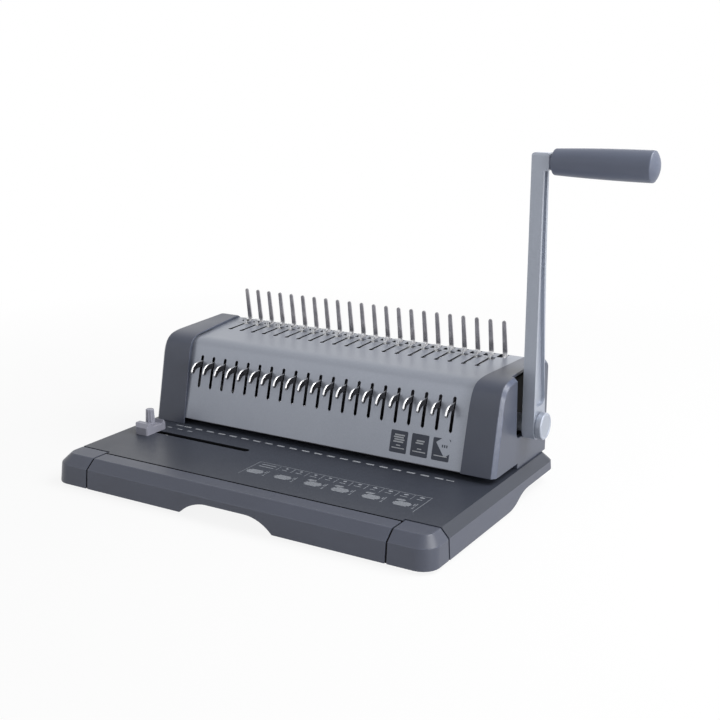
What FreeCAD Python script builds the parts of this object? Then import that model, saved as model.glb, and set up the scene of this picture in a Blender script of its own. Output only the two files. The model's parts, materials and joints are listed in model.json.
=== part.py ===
import FreeCAD, Part
import math
import os

# A manual punch and comb binding machine: a flat base with a chip drawer, a slotted sheet cover between
# two moulded end covers, a row of comb tines with hooks on top, selector pulls in front and a crank handle.
# Millimetres. X runs to the machine's right, Y to its back, Z up. The mechanism is drawn about the
# machine's middle plane and every node is moved by -middle_x when it is written, so that the whole
# object, handle included, stands centred on the origin with its feet on Z = 0.

# Comb pattern, an inch standard, and where its rows lie
hole_pitch = 14.2875
hole_count = 21
tine_count = hole_count + 1
hole_row_x = -1.7
hook_row_x = -3.4
tine_row_x = -1.0
hole_length = 8.0
hole_width = 3.0
pin_room = 0.15

# Base
base_half = 202.0
base_front = -129.0
base_rear = 129.0
wall_foot = 3.0
shoulder_z = 21.5
deck_z = 29.7
deck_half = 193.7
deck_front = -117.0
deck_rear = 121.0
wall_draft = 1.0
front_draft = 1.8
corner_front = 15.5
corner_rear = 12.0
deck_corner = 9.0
corner_steps = 6
shell_wall = 3.0
slope_share = 0.4
seam = 1.6
drawer_half = 160.0
drawer_seam_y = -101.0
cap_seam_y = -97.0
lap_reach = 15.0
lap_wall = 2.5
lift_start_y = 20.0
lift_end_y = 64.0
lift_height = 10.5
lift_inner_x = 172.0
lift_runs = 4

# Sheet cover, seen from the side
panel_foot_y = 10.6
panel_foot_z = 36.0
panel_lean = math.radians(15.0)
panel_bend_reach = 34.0
top_bend_reach = 15.0
bend_runs = 12
top_front_y = 44.0
top_front_z = 115.0
top_slope = math.radians(2.1)
housing_rear = 125.5
rear_bend = 1.5
rear_bend_runs = 2
sheet = 1.2
cover_half = 174.0
flange_foot_z = 104.0

# End covers
end_half = 192.0
end_proud = 2.8
end_wall = 5.0
end_panel_y = 16.3
end_panel_z = 70.0
end_lean = math.radians(12.0)
end_bend_reach = 28.1
end_rear_bend = 9.0
end_rear_runs = 4
rim_chamfer = 3.7
right_edge_x = 157.3
left_edge_x = 153.6
edge_flare = 0.115
end_foot_z = 35.2

# Each outline: height of the top at top_front_y, panel point and lean, the front bend's reach down the panel
# and along the top, rear wall, rear bend and its number of straight runs
cover_form = (top_front_z, panel_foot_y, panel_foot_z, panel_lean, panel_bend_reach, top_bend_reach,
              housing_rear, rear_bend, rear_bend_runs)
end_form = (top_front_z + end_proud, end_panel_y, end_panel_z, end_lean, end_bend_reach, end_bend_reach,
            housing_rear + end_proud, end_rear_bend, end_rear_runs)

# Paper slot
throat_top = 34.1
throat_depth_y = 59.0

# Handle well in the right end cover
well_front_y = 50.5
well_lean = 4.0
well_rear_y = 117.0
well_foot_z = 60.0
well_top_z = 112.5
well_back_x = 178.0
well_lip_x = 186.0
well_wall = 2.0
well_corner = 6.0
well_hub_gap = 0.8

# Front slots and selector pulls
slot_width = 3.2
slot_foot_z = 67.5
slot_top_z = 96.6
slot_eye = 1.8
foot_steps = 2
eye_steps = 5
pull_thick = 2.0
pull_slack = 0.3
pull_low = 88.2
pull_high = 94.7
pull_rear_y = 58.0
pull_brow_y = 19.0
pull_nose_y = 8.5
# The hooked end's outline, as (behind the nose, above the pull's lower edge)
pull_brow_bulge = (2.9, 3.6)
pull_nose = (0.0, -1.4)
pull_tip = (1.8, -4.4)
pull_inner = (4.6, -3.2)
pull_arch = (6.6, -1.0)
pull_neck = (9.8, 0.0)

# Hooks and their slots in the top
hook_y = 104.3
hook_depth = 3.7
hook_sheet = 1.6
hook_top_z = 123.4
hook_cap_left = 2.6
hook_cap_right = 3.2
hook_cap_thick = 1.6
hook_slot = 2.8
hook_slot_front = 79.8
hook_eye = 2.6
hook_gate = 5.5
hook_gate_front = 102.5
hook_gate_rear = 110.0

# Tine comb
tine_y = 121.3
tine_thick = 1.4
tine_lean = math.radians(8.5)
tine_top_z = 152.5
tine_foot_width = 4.9
tine_tip_width = 3.7
tip_steps = 4
comb_foot_z = 114.2
comb_web_y = 110.5
comb_web_low = 96.0
window_half = 4.5
window_front = 112.2
window_rear = 123.6

# Frame and drive
frame_x = 171.0
frame_thick = 3.0
frame_front_y = 14.0
frame_foot_y = 62.0
frame_flange = 12.0
flange_gap = 6.0
tie_radius = 4.0
tie_spots = [(41.0, 103.2), (104.0, 46.0), (117.0, 64.0)]
pivot_y = 76.0
pivot_z = 69.5
shaft_radius = 5.0
shaft_tail = 9.0
journal_reach = 2.0
bush_radius = 8.0
running_gap = 0.05
collar_gap = 0.3
collar_width = 3.0
gear_hub_radius = 7.5
module = 1.0
pressure = math.radians(20.0)
backlash = 0.25
root_depth = 1.25
press_teeth = 20
press_teeth_cut = 8
press_teeth_turn = math.radians(135)
press_gear_x = 147.5
press_gear_width = 8.0
hook_teeth = 32
hook_teeth_cut = 11
hook_teeth_turn = math.radians(45)
hook_gear_x = 159.5
hook_gear_width = 5.5
rack_back = 4.5

# Rear panel screws
screw_inset = 9.0
screw_heights = (44.0, 94.0)
screw_radius = 1.6
screw_length = 6.0
screw_head_radius = 3.6
screw_head_height = 1.8

# Punch
punch_y = 52.0
bar_half = 158.0
bar_front = 44.0
bar_rear = 60.0
bar_low = 78.0
bar_top = 98.0
pin_foot_z = 35.5
guide_top_z = 52.0
guide_lip = 3.0
guide_relief = 0.5
die_thick = 5.0
die_front = 40.0
post_x = 153.2
post_radius = 2.5
post_sides = 8
post_above = 6.0
spring_wire = 1.0
spring_gap = 0.3
spring_turns = 4
spring_sides = 6

# Hook slide
hook_plate_z = 109.8
hook_plate_thick = 2.0
hook_plate_front = 96.0
hook_plate_rear = 109.3
slide_gap = 0.4
rail_width = 4.0
rail_height = 5.9
rail_front_y = 62.0
rail_gap = 0.1

# Handle
arm_inner_x = 193.0
arm_outer_x = 204.5
arm_front_y = 63.0
arm_foot_z = 57.0
arm_foot_rear = 90.0
arm_foot_bend = 10.0
arm_mid_rear = 79.6
arm_mid_z = 184.5
arm_tip_rear = 75.5
arm_shoulder_z = 300.0
arm_top_z = 315.5
arm_head_x = 209.0
arm_head_round = 2.5
groove_depth = 3.0
groove_rim = 3.2
groove_low_z = 88.0
cap_radius = 12.6
cap_length = 6.8
cap_sides = 40
hub_radius = 8.5
grip_y = 69.25
grip_z = 307.8
grip_end_x = 302.5
grip_dome = 4.5
grip_tip_radius = 2.5
grip_collar = 3.4
grip_collar_radius = 7.4
grip_flare_radius = 11.3
grip_middle_x = 254.0
grip_middle_radius = 12.9
grip_end_radius = 13.4
grip_runs = 3
grip_sides = 32
spindle_radius = 4.0
spindle_depth = 4.0

# Chip drawer tray
tray_half = 158.0
tray_rear = 64.0
tray_low = 6.5
tray_top = 23.5
tray_rear_top = 18.5
tray_wall = 2.5
notch_half_foot = 51.0
notch_half_top = 22.0
notch_top_z = 15.0
notch_bulge_x = 35.9
notch_bulge_z = 12.0

# Paper guide
guide_x = -170.5
guide_half = 10.0
guide_front = -42.0
guide_rear = -13.0
guide_top = 41.0
guide_rear_drop = 1.0
guide_valley = 36.5
guide_valley_room = 1.8
guide_valley_bank = 1.5
guide_slope = 3.5
guide_chamfer = 1.2
guide_corner = 6.0
guide_bevel = 3.4
guide_bevel_rise = 8.5
guide_float = 0.1
guide_slot_y = -25.0
guide_slot_end = -48.7
guide_slot_start = -176.0
guide_slot_width = 7.0
knob_foot_radius = 4.9
knob_top_radius = 4.1
knob_height = 15.4
knob_float = 0.2
knob_flutes = 10
flute_share = 0.13
stud_radius = 2.0
stud_room = 0.3
nut_half = 6.0
nut_top = 26.4
nut_low = 24.0

# Underside
bottom_plate_z = 4.5
bottom_plate_thick = 1.5
foot_radius = 9.0
foot_taper = 1.0
foot_sides = 12

middle_x = (grip_end_x - base_half) / 2


def point(x, y, z):
    return FreeCAD.Vector(x, y, z)


def box(x0, x1, y0, y1, z0, z1):
    """Block between two corners."""
    return Part.makeBox(x1 - x0, y1 - y0, z1 - z0, point(x0, y0, z0))


def rod(radius, start, end):
    """Round bar between two points."""
    axis = end - start
    return Part.makeCylinder(radius, axis.Length, start, axis)


def rod_x(radius, x0, x1, y=pivot_y, z=pivot_z):
    return rod(radius, point(x0, y, z), point(x1, y, z))


def polygon(points):
    return Part.makePolygon(points + points[:1]).Edges


def flat(points):
    """Flat face with straight edges."""
    return Part.Face(Part.Wire(polygon(points)))


def stacked(outlines):
    """Solid through outlines whose corners answer each other, with a flat face on every side."""
    faces = [flat(outlines[0]), flat(outlines[-1])]
    for first, second in zip(outlines, outlines[1:]):
        faces += [flat([first[i - 1], first[i], second[i], second[i - 1]]) for i in range(len(first))]
    skin = Part.Shell(faces)
    skin.sewShape()
    solid = Part.Solid(skin)
    if solid.Volume < 0:
        solid.reverse()
    return solid


def ring(sides, radius, centre, axis):
    """Corners of a regular polygon square to an axis."""
    across = point(1, 0, 0) if abs(axis.z) > axis.Length / 2 else point(0, 0, 1)
    other = axis.cross(across).normalize()
    turns = [2 * math.pi * (step + 0.5) / sides for step in range(sides)]
    return [centre + across * (radius * math.cos(turn)) + other * (radius * math.sin(turn)) for turn in turns]


def bar(sides, radius, start, end, end_radius=None):
    """Regular many-sided bar between two points, tapered if its end is another size."""
    axis = end - start
    return stacked([ring(sides, radius, start, axis), ring(sides, end_radius or radius, end, axis)])


def bar_x(sides, radius, x0, x1, y=pivot_y, z=pivot_z):
    return bar(sides, radius, point(x0, y, z), point(x1, y, z))


def solid_of(edges, travel):
    """Closed outline pushed along a vector."""
    return Part.Face(Part.Wire(edges)).extrude(travel)


def side_prism(outline, x0, x1):
    """Straight-sided outline of (y, z) points, pushed along X."""
    return solid_of(polygon([point(x0, y, z) for y, z in outline]), point(x1 - x0, 0, 0))


def line(a, b):
    return Part.makeLine(a, b)


def arc(a, b, c):
    return Part.Arc(a, b, c).toShape()


def runs(a, b, c, count):
    """Points of an arc through three points, for short straight runs."""
    return arc(a, b, c).discretize(count + 1)


def turn_points(middle, radius, first, last, count):
    """(u, v) points round a centre, from one angle to another."""
    angles = [first + (last - first) * step / count for step in range(count + 1)]
    return [(middle[0] + radius * math.cos(a), middle[1] + radius * math.sin(a)) for a in angles]


def joined(shapes):
    """One solid from pieces that meet."""
    return shapes[0].fuse(shapes[1:]).removeSplitter()


def both_sides(shape):
    """The shape and its mirror image across the machine's middle plane."""
    return [shape, shape.mirror(point(0, 0, 0), point(1, 0, 0))]


def row_x(index, count, offset):
    """X of one place in a row at the hole pitch."""
    return offset + (index - (count - 1) / 2) * hole_pitch


def hole_x(index):
    return row_x(index, hole_count, hole_row_x)


def pull_x(index):
    return row_x(index, hole_count, 0)


def rounded_plan(half, front, rear, front_radius, rear_radius, z):
    """Level outline of the base, rounded at its four corners in short runs."""
    spots = [(half, front, 1, 1, front_radius), (half, rear, 1, -1, rear_radius),
             (-half, rear, -1, -1, rear_radius), (-half, front, -1, 1, front_radius)]
    outline = []
    for index, (x, y, side, inward, radius) in enumerate(spots):
        first = (index - 1) * math.pi / 2
        centre = (x - side * radius, y + inward * radius)
        outline += turn_points(centre, radius, first, first + math.pi / 2, corner_steps)
    return [point(x, y, z) for x, y in outline]


def base_form(inset):
    """The base's outer form, or the same form drawn in by a wall's thickness."""
    slant = slope_share * inset
    low = rounded_plan(base_half - inset, base_front + inset, base_rear - inset,
                       corner_front - inset, corner_rear - inset, wall_foot - inset)
    middle = rounded_plan(base_half - wall_draft - inset, base_front + front_draft + inset,
                          base_rear - wall_draft - inset, corner_front - inset,
                          corner_rear - inset, shoulder_z - slant)
    top = rounded_plan(deck_half - slant, deck_front + slant, deck_rear - slant,
                       deck_corner - slant, deck_corner - slant, deck_z - inset)
    return stacked([low, middle, top])


def base_skin():
    return base_form(0).cut(base_form(shell_wall))


def lifting_recess():
    """Finger room under the rear half of one side wall, rising in an S from the wall's foot."""
    mid_y = (lift_start_y + lift_end_y) / 2
    run = mid_y - lift_start_y
    rise = lift_height / 2
    radius = (run * run + rise * rise) / (2 * rise)
    half_turn = math.asin(run / radius) / 2
    step_y = radius * math.sin(half_turn)
    step_z = radius * (1 - math.cos(half_turn))
    x = lift_inner_x
    top = wall_foot + lift_height
    start = point(x, lift_start_y, wall_foot)
    centre = point(x, mid_y, wall_foot + rise)
    end = point(x, lift_end_y, top)
    below = wall_foot - lift_height
    rear = base_rear + shell_wall
    outline = runs(start, point(x, lift_start_y + step_y, wall_foot + step_z), centre, lift_runs)
    outline += runs(centre, point(x, lift_end_y - step_y, top - step_z), end, lift_runs)[1:]
    outline += [point(x, rear, top), point(x, rear, below), point(x, lift_start_y, below)]
    return solid_of(polygon(outline), point(base_half, 0, 0))


def rear_recess():
    """The rear wall's foot is raised to the height of the lifting recesses."""
    return box(-base_half, base_half, base_rear - 2 * shell_wall, 2 * base_rear, -lift_height,
               wall_foot + lift_height)


def cap_room(gap):
    """Where the right front corner cap is, with a seam's gap round it."""
    return box(drawer_half + seam - gap, 2 * base_half, 2 * base_front, cap_seam_y + gap, -deck_z, 2 * deck_z)


def drawer_room(gap):
    half = drawer_half + gap
    return box(-half, half, 2 * base_front, drawer_seam_y + gap, -deck_z, 2 * deck_z)


def front_laps():
    """Tongues of the base that the corner caps sit on."""
    lining = base_form(shell_wall).cut(base_form(shell_wall + lap_wall))
    reach = box(drawer_half + 2 * shell_wall, 2 * base_half, cap_seam_y - lap_reach, cap_seam_y + lap_reach,
                wall_foot, deck_z)
    return both_sides(lining.common(reach))


def guide_slot():
    """Slot in the deck that the paper guide slides along."""
    half = guide_slot_width / 2
    middle = box(guide_slot_start, guide_slot_end - half, guide_slot_y - half, guide_slot_y + half,
                 shoulder_z, deck_z + seam)
    ends = [bar(foot_sides, half, point(x, guide_slot_y, shoulder_z), point(x, guide_slot_y, deck_z + seam))
            for x in (guide_slot_start, guide_slot_end - half)]
    return joined([middle] + ends)


def base_shell():
    """Moulded base: paper deck, sloped borders, side and rear walls, open underneath."""
    openings = both_sides(cap_room(seam)) + both_sides(lifting_recess())
    openings += [drawer_room(seam), rear_recess()]
    openings.append(box(-frame_x, frame_x, die_front, frame_foot_y, shoulder_z, deck_z + seam))
    openings.append(guide_slot())
    shell = base_skin().cut(openings)
    return joined([shell] + front_laps())


def front_corner():
    """Right front corner cap of the base."""
    return base_skin().common(cap_room(0)).removeSplitter()


def bottom_plate():
    """Sheet pan that closes the base underneath and carries the drawer."""
    half = lift_inner_x - shell_wall
    rear = base_rear - 2 * shell_wall
    plan = rounded_plan(half, drawer_seam_y + lap_reach, rear, corner_front, corner_rear, bottom_plate_z)
    pan = flat(plan).extrude(point(0, 0, bottom_plate_thick))
    flange = box(corner_rear - half, half - corner_rear, rear - bottom_plate_thick, rear,
                 bottom_plate_z, wall_foot + lift_height + bottom_plate_thick)
    return joined([pan, flange])


def foot_spots():
    inset = 2 * foot_radius
    half = lift_inner_x - inset
    return [(x, y) for x in (-half, half) for y in (drawer_seam_y + 2 * inset, base_rear - inset)]


def rubber_feet():
    """Four pads that taper to the floor."""
    feet = []
    for x, y in foot_spots():
        sole = foot_radius - foot_taper
        feet.append(bar(foot_sides, sole, point(x, y, 0), point(x, y, bottom_plate_z), foot_radius))
    return Part.makeCompound(feet)


def bend(start, corner, end, count):
    """Points of a smooth bend inside a corner, for short straight runs."""
    weight = math.cos((corner - start).getAngle(end - corner) / 2)
    spots = []
    for step in range(count + 1):
        share = step / count
        parts = ((1 - share) ** 2, 2 * weight * share * (1 - share), share ** 2)
        spots.append((start * parts[0] + corner * parts[1] + end * parts[2]) * (1 / sum(parts)))
    return spots


def side_outline(form, inset, x, low):
    """Corners of a side outline: leaning panel, large bend, rising top, rear bend and rear wall."""
    top_z, panel_y, panel_z, lean, panel_reach, top_reach, rear_y, rear_radius, rear_runs = form
    up = point(0, math.sin(lean), math.cos(lean))
    back = point(0, math.cos(top_slope), math.sin(top_slope))
    panel = point(x, panel_y + inset * math.cos(lean), panel_z - inset * math.sin(lean))
    top = point(x, top_front_y + inset * math.sin(top_slope), top_z - inset * math.cos(top_slope))
    rear = rear_y - inset
    across = up.y * back.z - up.z * back.y
    corner = panel + up * (((top.y - panel.y) * back.z - (top.z - panel.z) * back.y) / across)
    drawn_in = inset * math.tan((math.pi / 2 - lean - top_slope) / 2)
    rear_reach = max(rear_radius - inset, rear_bend - sheet) * math.tan((math.pi / 2 + top_slope) / 2)
    rear_corner = point(x, rear, top.z + (rear - top.y) * math.tan(top_slope))
    foot = panel + up * ((low - panel.z) / up.z)
    bend_start = corner - up * (panel_reach - drawn_in)
    bend_end = corner + back * (top_reach - drawn_in)
    rear_start = rear_corner - back * rear_reach
    rear_end = rear_corner - point(0, 0, rear_reach)
    return ([foot] + bend(bend_start, corner, bend_end, bend_runs)
            + bend(rear_start, rear_corner, rear_end, rear_runs) + [point(x, rear, low)])


def housing_block(form, inset, x0, x1, low):
    return flat(side_outline(form, inset, x0, low)).extrude(point(x1 - x0, 0, 0))


def front_slot(index):
    """Tall slot with a rounded foot and a round eye at its top, cut level through the leaning panel."""
    half = slot_width / 2
    neck = math.asin(half / slot_eye)
    outline = turn_points((0, slot_foot_z + half), half, math.pi, 2 * math.pi, foot_steps)
    outline += turn_points((0, slot_top_z), slot_eye, neck - math.pi / 2, 1.5 * math.pi - neck, eye_steps)
    x = pull_x(index)
    return solid_of(polygon([point(x + u, 0, z) for u, z in outline]), point(0, top_front_y, 0))


def hook_slot_cut(index):
    """Slot of one hook in the top: round front eye, narrow run, wider gate where the hook stands."""
    half = hook_slot / 2
    neck = math.asin(half / hook_eye)
    outline = turn_points((0, hook_slot_front), hook_eye, math.pi / 2 + neck, 2.5 * math.pi - neck, eye_steps)
    outline += [(half, hook_gate_front), (hook_gate, hook_gate_front), (hook_gate, hook_gate_rear),
                (-half, hook_gate_rear)]
    x = row_x(index, hole_count, hook_row_x)
    low = top_front_z - 2 * sheet
    return solid_of(polygon([point(x + u, y, low) for u, y in outline]), point(0, 0, hook_top_z - low))


def tine_window(index):
    x = row_x(index, tine_count, hole_row_x)
    low = top_front_z - 2 * sheet
    return box(x - window_half, x + window_half, window_front, window_rear, low, hook_top_z)


def front_cover():
    """Bent sheet cover with the front slots, the hook slots and the tine windows."""
    low = deck_z
    skin = housing_block(cover_form, 0, -cover_half, cover_half, low).cut(
        housing_block(cover_form, sheet, -2 * cover_half, 2 * cover_half, low - sheet))
    below_panel = box(-2 * cover_half, 2 * cover_half, -top_front_y, top_front_y, 0, panel_foot_z)
    below_flange = box(-2 * cover_half, 2 * cover_half, top_front_y, 2 * housing_rear, 0, flange_foot_z)
    cuts = [below_panel, below_flange]
    cuts += [front_slot(i) for i in range(hole_count)]
    cuts += [hook_slot_cut(i) for i in range(hole_count)]
    cuts += [tine_window(i) for i in range(tine_count)]
    return skin.cut(cuts)


def rear_screw_spots():
    x = frame_x - screw_inset
    return [(side * x, z) for side in (-1, 1) for z in screw_heights]


def screw_shank(x, z, rear):
    return bar(foot_sides // 2, screw_radius, point(x, housing_rear - screw_length, z), point(x, rear, z))


def rear_cover():
    """Flat rear panel below the cover's flange."""
    panel = box(-cover_half, cover_half, housing_rear - sheet, housing_rear, deck_z, flange_foot_z - seam / 2)
    return panel.cut([screw_shank(x, z, housing_rear + sheet) for x, z in rear_screw_spots()])


def rear_screws():
    """Pan-head screws that hold the rear panel to the side frames."""
    screws = []
    for x, z in rear_screw_spots():
        seat = point(x, housing_rear, z)
        head = bar(foot_sides, screw_head_radius, seat, seat + point(0, screw_head_height, 0),
                   screw_head_radius - screw_head_height / 2)
        screws.append(joined([head, screw_shank(x, z, housing_rear)]))
    return Part.makeCompound(screws)


def flared_edge(edge_x):
    """Everything inboard of an end cover's slanted inner edge."""
    near = -2 * top_front_y
    far = 2 * housing_rear
    plan = [point(0, near, 0), point(edge_x + edge_flare * near, near, 0),
            point(edge_x + edge_flare * far, far, 0), point(0, far, 0)]
    return solid_of(polygon(plan), point(0, 0, 2 * hook_top_z))


def end_shell(edge_x):
    """Moulded right end cover before its openings: a cap with a bevelled rim, hollow on its inner side."""
    low = deck_z - 2 * end_wall
    inner_x = edge_x - 2 * end_wall
    block = stacked([side_outline(end_form, 0, inner_x, low),
                     side_outline(end_form, 0, end_half - rim_chamfer, low),
                     side_outline(end_form, rim_chamfer, end_half, low)])
    hollow = housing_block(cover_form, 0, inner_x - end_wall, end_half - end_wall, low - end_wall)
    below = box(0, 2 * end_half, -2 * top_front_y, 2 * housing_rear, 0, deck_z)
    return block.cut([hollow, flared_edge(edge_x), below])


def well_outline(x, grow, top):
    """Side outline of the handle's well, rounded at its lower front corner."""
    front_low = well_front_y + well_lean - grow
    foot = well_foot_z - grow
    rear = well_rear_y + grow
    radius = well_corner + grow
    cut = radius * (1 - math.sqrt(0.5))
    bend_up = point(x, front_low, foot + radius)
    bend_low = point(x, front_low + radius, foot)
    middle = point(x, front_low + cut, foot + cut)
    high_front = point(x, well_front_y - grow, top)
    high_rear = point(x, rear, top)
    low_rear = point(x, rear, foot)
    return [line(high_front, bend_up), arc(bend_up, middle, bend_low), line(bend_low, low_rear),
            line(low_rear, high_rear), line(high_rear, high_front)]


def end_cover_left():
    return both_sides(end_shell(left_edge_x))[1]


def end_cover_right():
    """Right end cover: paper can stick out below its front, and the handle has a well open at the top."""
    throat = box(0, 2 * end_half, -2 * top_front_y, throat_depth_y, 0, end_foot_z)
    well = solid_of(well_outline(well_lip_x, 0, 2 * top_front_z), point(end_half, 0, 0))
    return end_shell(right_edge_x).cut([throat, well])


def handle_well():
    """Black tray behind the opening for the handle."""
    depth = end_half - end_wall - well_back_x
    tray = solid_of(well_outline(well_back_x, well_wall, well_top_z + well_wall), point(depth, 0, 0))
    room = solid_of(well_outline(well_back_x + well_wall, 0, well_top_z), point(depth, 0, 0))
    return tray.cut([room, bar_x(foot_sides, hub_radius + well_hub_gap, well_back_x - 1, end_half)])


def tine(index):
    """One flat tapered tine with a round tip, leaning forward from the end of its foot."""
    x = row_x(index, tine_count, tine_row_x)
    along = point(0, -math.sin(tine_lean), math.cos(tine_lean))
    across = point(0, math.cos(tine_lean), math.sin(tine_lean)) * tine_thick
    start = point(x, tine_y, comb_foot_z)
    tip_radius = tine_tip_width / 2
    length = (tine_top_z - comb_foot_z) / math.cos(tine_lean)
    half = tine_foot_width / 2
    outline = [(-half, 0), (half, 0)]
    outline += turn_points((0, length - tip_radius), tip_radius, 0, math.pi, tip_steps)
    blade = solid_of(polygon([start + point(u, 0, 0) + along * v for u, v in outline]), across)
    foot = box(x - half, x + half, comb_web_y, tine_y + tine_thick, comb_foot_z, comb_foot_z + tine_thick)
    return blade.fuse(foot)


def tine_comb():
    """Bent plate across the machine with a row of tines that hold the comb's spine."""
    web = box(-frame_x, frame_x, comb_web_y, comb_web_y + tine_thick, comb_web_low, comb_foot_z + tine_thick)
    return joined([web] + [tine(i) for i in range(tine_count)])


def side_frame():
    """Right side frame: a C-shaped plate with a foot flange and a rear flange."""
    plate = housing_block(cover_form, sheet, frame_x, frame_x + frame_thick, deck_z)
    throat = box(0, 2 * frame_x, 0, frame_foot_y, 0, throat_top)
    front = box(0, 2 * frame_x, 0, frame_front_y, 0, 2 * frame_foot_y)
    bush_hole = bar_x(foot_sides // 2, bush_radius, frame_x - 1, frame_x + 2 * frame_thick)
    plate = plate.cut([throat, front, bush_hole])
    flange_inner = frame_x - frame_flange
    rear_face = housing_rear - sheet
    foot = box(flange_inner, frame_x, frame_foot_y + flange_gap / 2, comb_web_y, deck_z, deck_z + frame_thick)
    rear = box(flange_inner, frame_x, rear_face - frame_thick / 2, rear_face,
               deck_z + flange_gap, comb_web_low + flange_gap)
    holes = [screw_shank(x, z, housing_rear) for x, z in rear_screw_spots() if x > 0]
    return joined([plate, foot, rear.cut(holes)])


def tie_rods():
    """Three hexagon bars that hold the side frames apart."""
    return Part.makeCompound([bar_x(6, tie_radius, -frame_x, frame_x, y, z) for y, z in tie_spots])


def shaft_bushes():
    """Bronze bushes let into the side frames, kept from turning by their flats."""
    block = bar_x(foot_sides // 2, bush_radius, frame_x, frame_x + frame_thick)
    bore = rod_x(shaft_radius + running_gap, frame_x - 1, frame_x + 2 * frame_thick)
    return Part.makeCompound(both_sides(block.cut(bore)))


def hole_cuts(low, high, room):
    """Rectangular punch openings with room round the pins."""
    half_x = hole_length / 2 + room
    half_y = hole_width / 2 + room
    return [box(hole_x(i) - half_x, hole_x(i) + half_x, punch_y - half_y, punch_y + half_y, low, high)
            for i in range(hole_count)]


def die_plate():
    """Hardened lower plate, level with the deck, that the pins cut against."""
    plate = box(-frame_x, frame_x, die_front, frame_foot_y, deck_z - die_thick, deck_z)
    return plate.cut(hole_cuts(0, 2 * deck_z, pin_room))


def punch_guide():
    """Upper block that guides the pins, with a lip over the paper slot."""
    front = panel_foot_y + guide_lip
    lip = throat_top + guide_lip
    rear = bar_rear - guide_relief
    outline = [(front, throat_top), (frame_foot_y, throat_top), (frame_foot_y, lip + guide_lip),
               (rear, lip + 2 * guide_lip), (rear, guide_top_z), (bar_front, guide_top_z), (bar_front, lip),
               (front, lip)]
    block = side_prism(outline, -frame_x, frame_x)
    return block.cut(hole_cuts(0, 2 * guide_top_z, pin_room))


def paper_stop():
    """Back stop of the paper slot, which also spaces the guide from the die."""
    return box(-frame_x, frame_x, throat_depth_y, frame_foot_y, deck_z, throat_top)


def guide_posts():
    """Ground posts with flats that the press bar runs on."""
    top = bar_top + post_above
    posts = [bar(post_sides, post_radius, point(x, punch_y, guide_top_z), point(x, punch_y, top))
             for x in (-post_x, post_x)]
    return Part.makeCompound(posts)


def press_spring(x):
    """Square-wire spring round one guide post, wound in short straight runs."""
    half = spring_wire / 2
    radius = (post_radius + spring_gap + half) / math.cos(math.pi / spring_sides)
    low = guide_top_z + spring_wire
    height = bar_low - spring_wire - low
    count = spring_turns * spring_sides
    path = []
    for step in range(count + 1):
        angle = 2 * math.pi * step / spring_sides
        path.append(point(x + radius * math.cos(angle), punch_y + radius * math.sin(angle),
                          low + height * step / count))
    ahead = (path[1] - path[0]).normalize()
    outward = point(1, 0, 0) - ahead * ahead.x
    outward.normalize()
    upward = ahead.cross(outward)
    corners = [(-half, -half), (half, -half), (half, half), (-half, half), (-half, -half)]
    section = Part.makePolygon([path[0] + outward * u + upward * v for u, v in corners])
    sweep = Part.BRepOffsetAPI.MakePipeShell(Part.makePolygon(path))
    sweep.setTransitionMode(1)
    sweep.add(section, False, False)
    sweep.build()
    sweep.makeSolid()
    return sweep.shape()


def press_springs():
    return Part.makeCompound([press_spring(x) for x in (-post_x, post_x)])


def hook_rails():
    """Ledges on the side frames that the hook slide runs on."""
    top = hook_plate_z - rail_gap
    rail = box(frame_x - rail_width, frame_x, rail_front_y, comb_web_y, top - rail_height, top)
    return Part.makeCompound(both_sides(rail))


def involute(angle):
    return math.tan(angle) - angle


def tooth_half(pitch_radius, radius):
    """Half the angle that a tooth spans at a radius."""
    base = pitch_radius * math.cos(pressure)
    there = math.acos(min(1.0, base / max(radius, base)))
    thick = math.pi * module / 2 - backlash
    return thick / (2 * pitch_radius) + involute(pressure) - involute(there)


def toothed_sector(teeth, middle, count, x, width):
    """Part of a gear, its teeth centred on an angle from +Y towards +Z, on a hub with a hexagon bore."""
    pitch_radius = module * teeth / 2
    root = pitch_radius - root_depth * module
    tip = pitch_radius + module
    step = 2 * math.pi / teeth

    def spot(radius, angle):
        return point(x, pivot_y + radius * math.cos(angle), pivot_z + radius * math.sin(angle))

    outline = [point(x, pivot_y, pivot_z)]
    for index in range(count):
        centre = middle + (index - (count - 1) / 2) * step
        outline += [spot(root, centre - tooth_half(pitch_radius, root)),
                    spot(tip, centre - tooth_half(pitch_radius, tip)),
                    spot(tip, centre + tooth_half(pitch_radius, tip)),
                    spot(root, centre + tooth_half(pitch_radius, root))]
    sector = solid_of(polygon(outline), point(width, 0, 0))
    hub = bar_x(foot_sides, gear_hub_radius, x, x + width)
    return joined([sector, hub]).cut(bar_x(6, shaft_radius, x - 1, x + width + 1))


def press_pinions():
    """Two pinions that drive the press bar down."""
    pinion = toothed_sector(press_teeth, press_teeth_turn, press_teeth_cut, press_gear_x, press_gear_width)
    return Part.makeCompound(both_sides(pinion))


def hook_sectors():
    """Two larger sectors that draw the hooks forward."""
    sector = toothed_sector(hook_teeth, hook_teeth_turn, hook_teeth_cut, hook_gear_x, hook_gear_width)
    return Part.makeCompound(both_sides(sector))


def rack_teeth(first, last):
    """Offsets along a rack and heights from its pitch line, for gaps centred on whole pitches."""
    pitch = math.pi * module
    thick = pitch / 2 - backlash
    depth = root_depth * module
    tip_half = thick / 2 - math.tan(pressure) * module
    root_half = thick / 2 + math.tan(pressure) * depth
    steps = []
    for index in range(first, last):
        centre = (index + 0.5) * pitch
        steps += [(centre - root_half, depth), (centre - tip_half, -module),
                  (centre + tip_half, -module), (centre + root_half, depth)]
    return steps


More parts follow.
